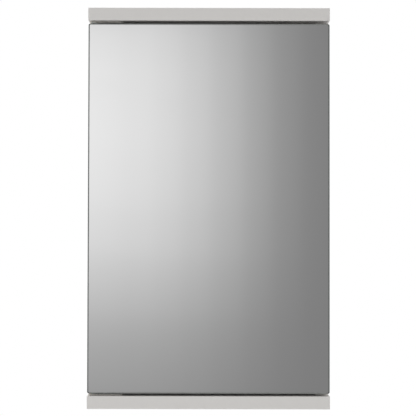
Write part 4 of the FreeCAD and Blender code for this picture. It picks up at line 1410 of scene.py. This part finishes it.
@dataclass
class PinHinges:
    """The pin hinges at the door's upper and lower left corners."""

    screws: Screws
    corner: float = 4.5 * MM
    arris: float = 0.22 * MM
    first_screw: float = 21.8 * MM
    pitch: float = 17.0 * MM
    axis: float = 4.8 * MM
    bush_bore: float = 3.6
    pin_bore: float = 2.5
    flange: float = 0.6

    def leaf(self, name: str, node: str) -> bpy.types.Object:
        """Models a plate with round ends and softly blanked edges.

        Args:
            name: The piece's name.
            node: The CAD node that it stands for.

        Returns:
            The plate.
        """
        low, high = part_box(node)
        piece = block(name, low, high)
        with Edit(piece) as edit:
            edit.round_corners(self.corner, 10)
            edit.round_rims(low.z, high.z, self.arris)
        for centre, facing in self.screw_places(node):
            countersink(piece, centre, facing, 2.4)
        bore = self.bush_bore if "slab" in node else self.pin_bore
        pivot = turned("pivot", [(bore, -4.0), (bore, 4.0)])
        put(pivot, (low.x + self.axis, (low.y + high.y) / 2, low.z))
        carve(piece, pivot)
        smooth(piece)
        dress_piece(piece, material_of(NICKEL))
        return piece

    def screw_places(self, node: str) -> list[tuple[tuple[float, float, float], Facing]]:
        """Works out where a plate's two screws go.

        Args:
            node: The plate's CAD node.

        Returns:
            The middle of each head, and where it looks.
        """
        low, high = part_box(node)
        head_up = node in ("lower_hinge_slab_plate", "upper_hinge_door_plate")
        face, facing = (high.z, Facing.UP) if head_up else (low.z, Facing.DOWN)
        return [((low.x + self.first_screw + index * self.pitch, (low.y + high.y) / 2, face), facing)
                for index in range(2)]

    def build(self, nodes: dict[str, bpy.types.Object]) -> None:
        """Models the plates, bushes, pins and screws of both hinges.

        Args:
            nodes: Not used.
        """
        count = {"slab": 0, "door": 0}
        for end in ("upper", "lower"):
            for part, body in (("slab", Body.CABINET), ("door", Body.DOOR)):
                node = f"{end}_hinge_{part}_plate"
                hand_over(self.leaf(f"{end}_{part}_leaf", node), body, "nickel_plate", node)
                for centre, facing in self.screw_places(node):
                    count[part] += 1
                    self.screws.drive(f"hinge_{part}_screw_{count[part]}", centre, facing, body,
                                      f"hinge_{part}_screws")
            self.bush(end)
            self.pin(end)

    def bush(self, end: str) -> None:
        """Models a flanged nylon bush round the pin.

        Args:
            end: "upper" or "lower".
        """
        low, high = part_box(f"{end}_hinge_bush")
        flange, tall = self.flange, (high.z - low.z) / MM
        piece = turned(f"{end}_bush", [(2.56, 0.0), (4.35, 0.0), (4.5, 0.15), (4.5, flange - 0.15),
                                       (4.4, flange), (3.56, flange), (3.56, tall - 0.4), (3.3, tall),
                                       (2.56, tall), (2.56, 0.0)], 40)
        middle = (low + high) / 2
        upper = end == "upper"
        put(piece, (middle.x, middle.y, low.z if upper else high.z), Facing.UP if upper else Facing.DOWN)
        with Edit(piece) as edit:
            edit.faces(lambda place, normal: (place - Vector((middle.x, middle.y, place.z))).length < MM)
            bpy.ops.mesh.delete(type="FACE")
            edit.mend()
        smooth(piece)
        dress_piece(piece, material_of(NYLON))
        hand_over(piece, Body.CABINET, "nylon", f"{end}_hinge_bush")

    def pin(self, end: str) -> None:
        """Models a turned pin with a rounded nose.

        Args:
            end: "upper" or "lower".
        """
        low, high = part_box(f"{end}_hinge_pin")
        tall = (high.z - low.z) / MM
        piece = turned(f"{end}_pin", [(2.35, 0.0), (2.5, 0.15), (2.5, tall - 0.7), (2.35, tall - 0.3),
                                      (1.9, tall - 0.04), (1.5, tall)], 36)
        middle = (low + high) / 2
        upper = end == "upper"
        put(piece, (middle.x, middle.y, low.z if upper else high.z), Facing.UP if upper else Facing.DOWN)
        smooth(piece)
        dress_piece(piece, material_of(STEEL))
        hand_over(piece, Body.DOOR, "plated_steel", f"{end}_hinge_pin")


@dataclass
class PushLatch:
    """Magnetic push latch under the top slab, and its strike on the door."""

    screws: Screws
    base: float = 3.0 * MM
    web: float = 5.0 * MM
    barrel: float = 7.0
    screw_offset: float = 16 * MM
    screw_end: float = 12 * MM
    bore: float = 5.15
    mouth: float = 5.6
    floor: float = 4.0
    magnet_line: Profile = ((3.98, 0.0), (3.98, 2.75), (3.85, 2.95), (3.6, 3.0))
    strike_line: Profile = ((6.5, 0.0), (6.5, 1.0), (6.4, 1.15), (6.2, 1.2), (3.0, 1.2), (2.0, 0.5))
    strike_screw_line: Profile = ((0.3, -9.8), (1.2, -8.5), (1.2, -1.3), (2.0, -0.66), (2.55, -0.12),
                                  (2.45, -0.04), (1.9, -0.02))

    def axis(self) -> Vector:
        """Returns the plunger's middle."""
        low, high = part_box("latch_plunger")
        return (low + high) / 2

    def housing(self) -> bpy.types.Object:
        """Models the housing: base plate, web and bored barrel with a soft mouth.

        Returns:
            The housing.
        """
        low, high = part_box("latch_housing")
        axis = self.axis()
        plate = block("plate", (low.x, low.y, high.z - self.base), high)
        with Edit(plate) as edit:
            edit.round_corners(3 * MM, 8)
            edit.round_edges(lambda place, way: place.z < high.z - self.base + HAIR, 0.4 * MM, 3)
        for centre in self.screw_places():
            countersink(plate, centre, Facing.DOWN, 4.5)
        web = block("web", (axis.x - self.web, low.y + 0.3 * MM, axis.z),
                    (axis.x + self.web, high.y - 0.3 * MM, high.z - self.base + 0.2 * MM))
        with Edit(web) as edit:
            edit.round_corners(0.8 * MM, 3)
        long = (high.y - low.y) / MM
        barrel = turned("barrel", [(self.barrel - 0.6, 0.0), (self.barrel, 0.6), (self.barrel, long - 0.6),
                                   (self.barrel - 0.6, long)], 48)
        put(barrel, (axis.x, high.y, axis.z), Facing.FRONT)
        piece = weld("latch_body", [plate, web, barrel])
        bore = turned("bore", [(self.bore, self.floor), (self.bore, long - 0.4), (self.mouth, long),
                               (self.mouth, long + 1.0)], 48)
        put(bore, (axis.x, high.y, axis.z), Facing.FRONT)
        carve(piece, bore)
        smooth(piece)
        dress_piece(piece, material_of(LATCH_GREY))
        return piece

    def screw_places(self) -> list[tuple[float, float, float]]:
        """Returns the middles of the two screw heads."""
        low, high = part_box("latch_housing")
        across, level = self.axis().x - self.screw_offset, high.z - self.base
        return [(across, low.y + self.screw_end, level), (across, high.y - self.screw_end, level)]

    def rod(self) -> bpy.types.Object:
        """Models the plunger, its tip a cup that holds the magnet.

        Returns:
            The plunger.
        """
        low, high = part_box("latch_plunger")
        long = (high.y - low.y) / MM
        piece = turned("latch_rod", [(3.0, long - 16), (3.0, 0.0), (4.8, 0.0), (5.0, 0.2), (5.0, long - 0.7),
                                     (4.85, long - 0.2), (4.6, long), (4.05, long), (4.0, long - 0.1),
                                     (4.0, long - 3.0)], 40)
        axis = self.axis()
        put(piece, (axis.x, high.y, axis.z), Facing.FRONT)
        smooth(piece)
        dress_piece(piece, material_of(LATCH_GREY))
        return piece

    def build(self, nodes: dict[str, bpy.types.Object]) -> None:
        """Models the latch, its magnet, its screws and the strike on the door.

        Args:
            nodes: The frame's nodes by name.
        """
        hand_over(self.housing(), Body.CABINET, "latch_plastic", "latch_housing")
        for index, centre in enumerate(self.screw_places(), start=1):
            self.screws.drive(f"latch_screw_{index}", centre, Facing.DOWN, Body.CABINET, "latch_screws")
        hand_over(self.rod(), Body.PLUNGER, "latch_plastic", "latch_plunger")
        hand_over(self.magnet(), Body.PLUNGER, "magnet_nickel", "plunger_magnet")
        paint(nodes, SPRING, "latch_spring")
        hand_over(self.strike(), Body.DOOR, "plated_steel", "latch_strike_plate")
        hand_over(self.strike_screw(), Body.DOOR, "plated_steel", "strike_plate_screw")

    def magnet(self) -> bpy.types.Object:
        """Models the magnet in the plunger's tip.

        Returns:
            The magnet.
        """
        low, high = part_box("plunger_magnet")
        middle = (low + high) / 2
        piece = turned("latch_magnet", self.magnet_line, 40)
        put(piece, (middle.x, high.y, middle.z), Facing.FRONT)
        smooth(piece)
        dress_piece(piece, material_of(MAGNET))
        return piece

    def strike(self) -> bpy.types.Object:
        """Models the dished steel disc that the magnet holds.

        Returns:
            The disc.
        """
        low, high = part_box("latch_strike_plate")
        middle = (low + high) / 2
        piece = turned("strike_disc", self.strike_line, 48)
        put(piece, (middle.x, low.y, middle.z), Facing.REAR)
        smooth(piece)
        dress_piece(piece, material_of(STEEL))
        return piece

    def strike_screw(self) -> bpy.types.Object:
        """Models the small screw through the strike's middle.

        Returns:
            The screw.
        """
        low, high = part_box("latch_strike_plate")
        middle = (low + high) / 2
        piece = turned("strike_screw", self.strike_screw_line, 28)
        carve(piece, cross_cutter(2.6, 0.6, 0.8, -0.02))
        put(piece, (middle.x, high.y, middle.z), Facing.REAR)
        smooth(piece, 35)
        dress_piece(piece, material_of(STEEL))
        return piece


# ---------------------------------------------------------------- door


@dataclass
class MirrorDoor:
    """Banded door board with the mirror pane taped over its whole front."""

    corner: float = 2.5 * MM
    arris: float = 1.6 * MM
    banding: float = 1.0 * MM
    board_arris: float = 0.4 * MM
    back_arris: float = 0.25 * MM
    bumper_line: Profile = ((4.0, 0.0), (4.0, 0.45), (3.85, 0.85), (3.45, 1.2), (2.8, 1.48), (1.9, 1.64),
                            (0.9, 1.7))

    def pane(self) -> bpy.types.Object:
        """Models the mirror pane with rounded corners and a ground bevel round its front.

        Returns:
            The pane.
        """
        low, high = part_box("mirror_glass")
        piece = block("mirror_pane", low, high)
        with Edit(piece) as edit:
            edit.round_edges(lambda place, way: abs(way.y) > ALONG, self.corner, 10)
            edit.round_edges(lambda place, way: place.y - low.y < HAIR and abs(way.y) < ACROSS, self.arris, 1)
            edit.round_edges(lambda place, way: high.y - place.y < HAIR and abs(way.y) < ACROSS,
                             self.back_arris, 1)
        choose_slot(piece, 1, lambda place, normal: normal.y > -0.95)
        choose_slot(piece, 2, lambda place, normal: normal.y > 0.95)
        smooth(piece, 25)
        dress_piece(piece, Silvering().make(low, high), material_of(GROUND_RIM), material_of(MIRROR_PAINT))
        return piece

    def edging(self) -> bpy.types.Object:
        """Models the banding round the door board's four edges.

        Returns:
            The banding.
        """
        low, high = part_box("door_edging")
        piece = block("door_banding", low, high)
        with Edit(piece) as edit:
            edit.remove_faces(lambda place, normal: abs(normal.y) > ALONG)
        apply_modifier(piece, "SOLIDIFY", thickness=self.banding, offset=-1.0, use_even_offset=True)

        def outer(place: Vector, way: Vector) -> bool:
            """Whether an edge runs along the banding's outside."""
            on_side = abs(abs(place.x) - high.x) < HAIR
            return on_side or min(place.z - low.z, high.z - place.z) < HAIR

        with Edit(piece) as edit:
            edit.mend()
            edit.round_edges(outer, self.board_arris, 3)
        smooth(piece)
        dress_piece(piece, material_of(BANDING))
        return piece

    def build(self, nodes: dict[str, bpy.types.Object]) -> None:
        """Models the pane, the banding and the bumpers, and paints the board behind them.

        Args:
            nodes: The frame's nodes by name.
        """
        hand_over(self.pane(), Body.DOOR, "mirror", "mirror_glass")
        hand_over(self.edging(), Body.DOOR, "edge_banding", "door_edging")
        paint(nodes, board("foil_board_door", -1), "door_panel")
        paint(nodes, FILM, "mirror_backing_film")
        paint(nodes, FOAM, "mirror_tape_strips")
        low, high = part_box("door_bumpers")
        master = turned("bumper_master", self.bumper_line, 36)
        smooth(master, 50)
        dress_piece(master, material_of(SOFT_CLEAR))
        radius = (high.x - low.x) / 2
        for index, level in enumerate((low.z + radius, high.z - radius), start=1):
            piece = copy_of(master, f"door_bumper_{index}")
            put(piece, (low.x + radius, low.y, level), Facing.REAR)
            hand_over(piece, Body.DOOR, "clear_rubber", "door_bumpers")
        scrap(master)


# ---------------------------------------------------------------- studio


@dataclass(frozen=True)
class Lamp:
    """A square soft light.

    Attributes:
        name: The light's name.
        place: Where it hangs.
        size: Its side.
        power: Its power in watts.
        glossy: Whether it shows in reflections.
    """

    name: str
    place: Triple
    size: float
    power: float
    glossy: bool = True


@dataclass
class Studio:
    """Pale floor, soft light, the card that the mirror reflects, and the camera."""

    distance: float = 1.5
    frame_width: float = 0.5179
    look_across: float = -0.0009
    look_up: float = 0.24975
    rise: float = 0.0333
    roll: float = 0.0020
    floor_level: float = -0.75
    floor_half: float = 3.0
    floor_fade: tuple[float, float] = (0.9, 2.6)
    floor_tones: tuple[Colour, Colour] = ((0.83, 0.828, 0.82), (0.86, 0.858, 0.85))
    card_away: float = 3.0
    card_low: tuple[float, float] = (-2.2, -1.6)
    card_high: tuple[float, float] = (2.2, 2.4)
    card_corner: float = 0.2
    card_thick: float = 0.02
    card_dimmest: float = 0.20
    card_silver: float = 0.888
    card_spot: Profile = ((0.0, 1.0), (0.14, 0.93), (0.27, 0.86), (0.39, 0.735), (0.51, 0.58),
                          (0.64, 0.393), (0.76, 0.216), (0.88, 0.094), (1.0, 0.03))
    card_drop: Profile = ((0.0, 0.40), (0.097, 0.515), (0.17, 0.575), (0.255, 0.595), (0.37, 0.592),
                          (0.5, 0.535), (0.617, 0.430), (0.752, 0.256), (0.905, 0.130), (1.0, 0.10))
    aim: Triple = (0.0, 0.0, 0.25)
    lamps: tuple[Lamp, ...] = (
        Lamp("key", (-1.9, -2.0, 1.5), 1.4, 9.0),
        Lamp("fill", (2.4, -1.2, 0.9), 1.6, 6.0),
        Lamp("overhead", (0.2, 0.6, 2.4), 1.8, 16.0),
        Lamp("front", (-0.2, -2.7, 0.3), 0.8, 8.2, glossy=False),
    )

    def camera(self, front: float) -> None:
        """Sets the camera square to the front and a little under the middle, looking slightly up.

        Args:
            front: Where the mirror's face is.
        """
        data = bpy.data.cameras.new("camera")
        data.sensor_width = 36.0
        data.lens = data.sensor_width * self.distance / self.frame_width
        data.dof.use_dof = False
        camera = bpy.data.objects.new("camera", data)
        bpy.context.scene.collection.objects.link(camera)
        camera.location = (self.look_across, front - self.distance, self.look_up - self.rise)
        target = Vector((self.look_across, front, self.look_up))
        facing = (target - camera.location).to_track_quat("-Z", "Y").to_matrix()
        camera.rotation_euler = (facing @ Matrix.Rotation(self.roll, 3, "Z")).to_euler()
        bpy.context.scene.camera = camera

    def world(self) -> None:
        """Sets plain white behind the cabinet, and a soft gradient of light all round it."""
        world = bpy.data.worlds.new("studio")
        bpy.context.scene.world = world
        world.use_nodes = True
        world.node_tree.nodes.clear()
        wire = Wiring(world.node_tree)
        way = wire.node("ShaderNodeTexCoord").outputs["Generated"]
        across, along, up = wire.split(way)
        lift = wire.span(up, -0.8, 0.9, 0.62, 1.0, way="SMOOTHSTEP")
        behind = wire.span(along, -1.0, 0.35, 0.40, 1.0, way="SMOOTHSTEP")
        left = wire.span(across, -0.9, 0.9, 1.12, 0.80, way="SMOOTHSTEP")
        level = wire.math("MULTIPLY", wire.math("MULTIPLY", lift, behind), left)
        soft = wire.node("ShaderNodeBackground", {"Color": (1.0, 0.992, 0.98), "Strength": level})
        plain = wire.node("ShaderNodeBackground", {"Color": (1, 1, 1), "Strength": 1.0})
        seen = wire.node("ShaderNodeLightPath").outputs["Is Camera Ray"]
        both = wire.node("ShaderNodeMixShader", {0: seen, 1: soft.outputs[0], 2: plain.outputs[0]})
        wire.node("ShaderNodeOutputWorld", {0: both.outputs[0]})

    def light(self, lamp: Lamp) -> None:
        """Hangs a lamp and points it at the cabinet's middle.

        Args:
            lamp: Which lamp.
        """
        data = bpy.data.lights.new(lamp.name, "AREA")
        data.shape = "SQUARE"
        data.size = lamp.size
        data.energy = lamp.power
        hung = bpy.data.objects.new(lamp.name, data)
        bpy.context.scene.collection.objects.link(hung)
        hung.location = lamp.place
        hung.rotation_euler = (Vector(self.aim) - Vector(lamp.place)).to_track_quat("-Z", "Y").to_euler()
        hung.visible_camera = False
        hung.visible_glossy = lamp.glossy

    def floor(self) -> None:
        """Lays a pale floor some way under the wall-hung cabinet."""
        half = self.floor_half
        floor = block("floor", (-half, -half, self.floor_level - 0.02), (half, half, self.floor_level))
        with Edit(floor) as edit:
            edit.remove_faces(lambda place, normal: normal.z < ALONG)
            edit.round_edges(lambda place, way: True, half / 2, 1)
        material, wire, shader = blank("pale_floor", Roughness=0.8)
        across, along, _ = wire.split(wire.node("ShaderNodeTexCoord").outputs["Object"])
        away = wire.math("SQRT", wire.math("ADD", wire.math("MULTIPLY", across, across),
                                           wire.math("MULTIPLY", along, along)))
        wire.feed(shader.inputs["Alpha"], wire.span(away, *self.floor_fade, 1.0, 0.0, way="SMOOTHSTEP"))
        tone = wire.effect(Effect.GRAIN, {"Vector": wire.places(), "Size": 3.0, "Contrast": 0.6}).outputs[0]
        wire.feed(shader.inputs["Base Color"], wire.mix(tone, *self.floor_tones))
        dress_piece(floor, material)

    def card(self, front: float, low: Vector, high: Vector) -> None:
        """Stands a glowing card far in front, bright at its left and dim at its right and foot.

        Args:
            front: Where the mirror's face is.
            low: The mirror's lowest corner.
            high: The mirror's highest corner.
        """
        spread = (self.distance + self.card_away) / self.distance
        eye = self.look_up - self.rise
        away = front - self.card_away
        left, right = low.x * spread, high.x * spread
        top, foot = (eye + (level - eye) * spread for level in (high.z, low.z))
        card = block("light_card", (self.card_low[0], away - self.card_thick, self.card_low[1]),
                     (self.card_high[0], away, self.card_high[1]))
        with Edit(card) as edit:
            edit.round_edges(lambda place, way: abs(way.y) > ALONG, self.card_corner, 6)
        material = bpy.data.materials.new("light_card")
        material.use_nodes = True
        material.node_tree.nodes.clear()
        wire = Wiring(material.node_tree)
        across, _, level = wire.split(wire.node("ShaderNodeTexCoord").outputs["Object"])
        u = wire.math("DIVIDE", wire.math("SUBTRACT", across, left), right - left)
        v = wire.math("DIVIDE", wire.math("SUBTRACT", top, level), top - foot)
        spot = wire.ramp(wire.span(u, 0.0, 1.0), self.card_spot)
        drop = wire.ramp(wire.span(v, -0.1, 1.1), self.card_drop)
        glow = wire.math("ADD", self.card_dimmest, wire.math("MULTIPLY", drop, spot))
        strength = wire.math("DIVIDE", glow, self.card_silver)
        light = wire.node("ShaderNodeEmission", {"Color": (1.0, 1.0, 1.0), "Strength": strength})
        clear = wire.node("ShaderNodeBsdfTransparent")
        sideways = wire.math("ABSOLUTE", wire.math("SUBTRACT", u, 0.5))
        upwards = wire.math("ABSOLUTE", wire.math("SUBTRACT", v, 0.5))
        gone = wire.math("MAXIMUM", wire.span(sideways, 0.6, 1.5, way="SMOOTHSTEP"),
                         wire.span(upwards, 0.55, 1.05, way="SMOOTHSTEP"))
        both = wire.node("ShaderNodeMixShader", {0: gone, 1: light.outputs[0], 2: clear.outputs[0]})
        wire.node("ShaderNodeOutputMaterial", {0: both.outputs[0]})
        dress_piece(card, material)
        card.visible_camera = False
        card.visible_diffuse = False
        card.visible_shadow = False
        card.visible_transmission = False

    def build(self) -> None:
        """Sets up the whole studio round the mirror."""
        low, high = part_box("mirror_glass")
        bpy.context.scene.view_settings.view_transform = "Standard"
        self.camera(low.y)
        self.world()
        self.floor()
        self.card(low.y, low, high)
        for lamp in self.lamps:
            self.light(lamp)


def main() -> None:
    """Builds every sub-assembly round the frame and sets up the studio."""
    logging.basicConfig(level=logging.INFO, format="%(message)s")
    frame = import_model()
    nodes = frame["nodes"]
    screws = Screws()
    for assembly in (Carcass(), Shelving(), Fittings(), PinHinges(screws), PushLatch(screws), MirrorDoor()):
        log.info("building %s", type(assembly).__name__)
        assembly.build(nodes)
    screws.put_away()
    Studio().build()
    clear_selection()


if __name__ == "__main__":
    main()
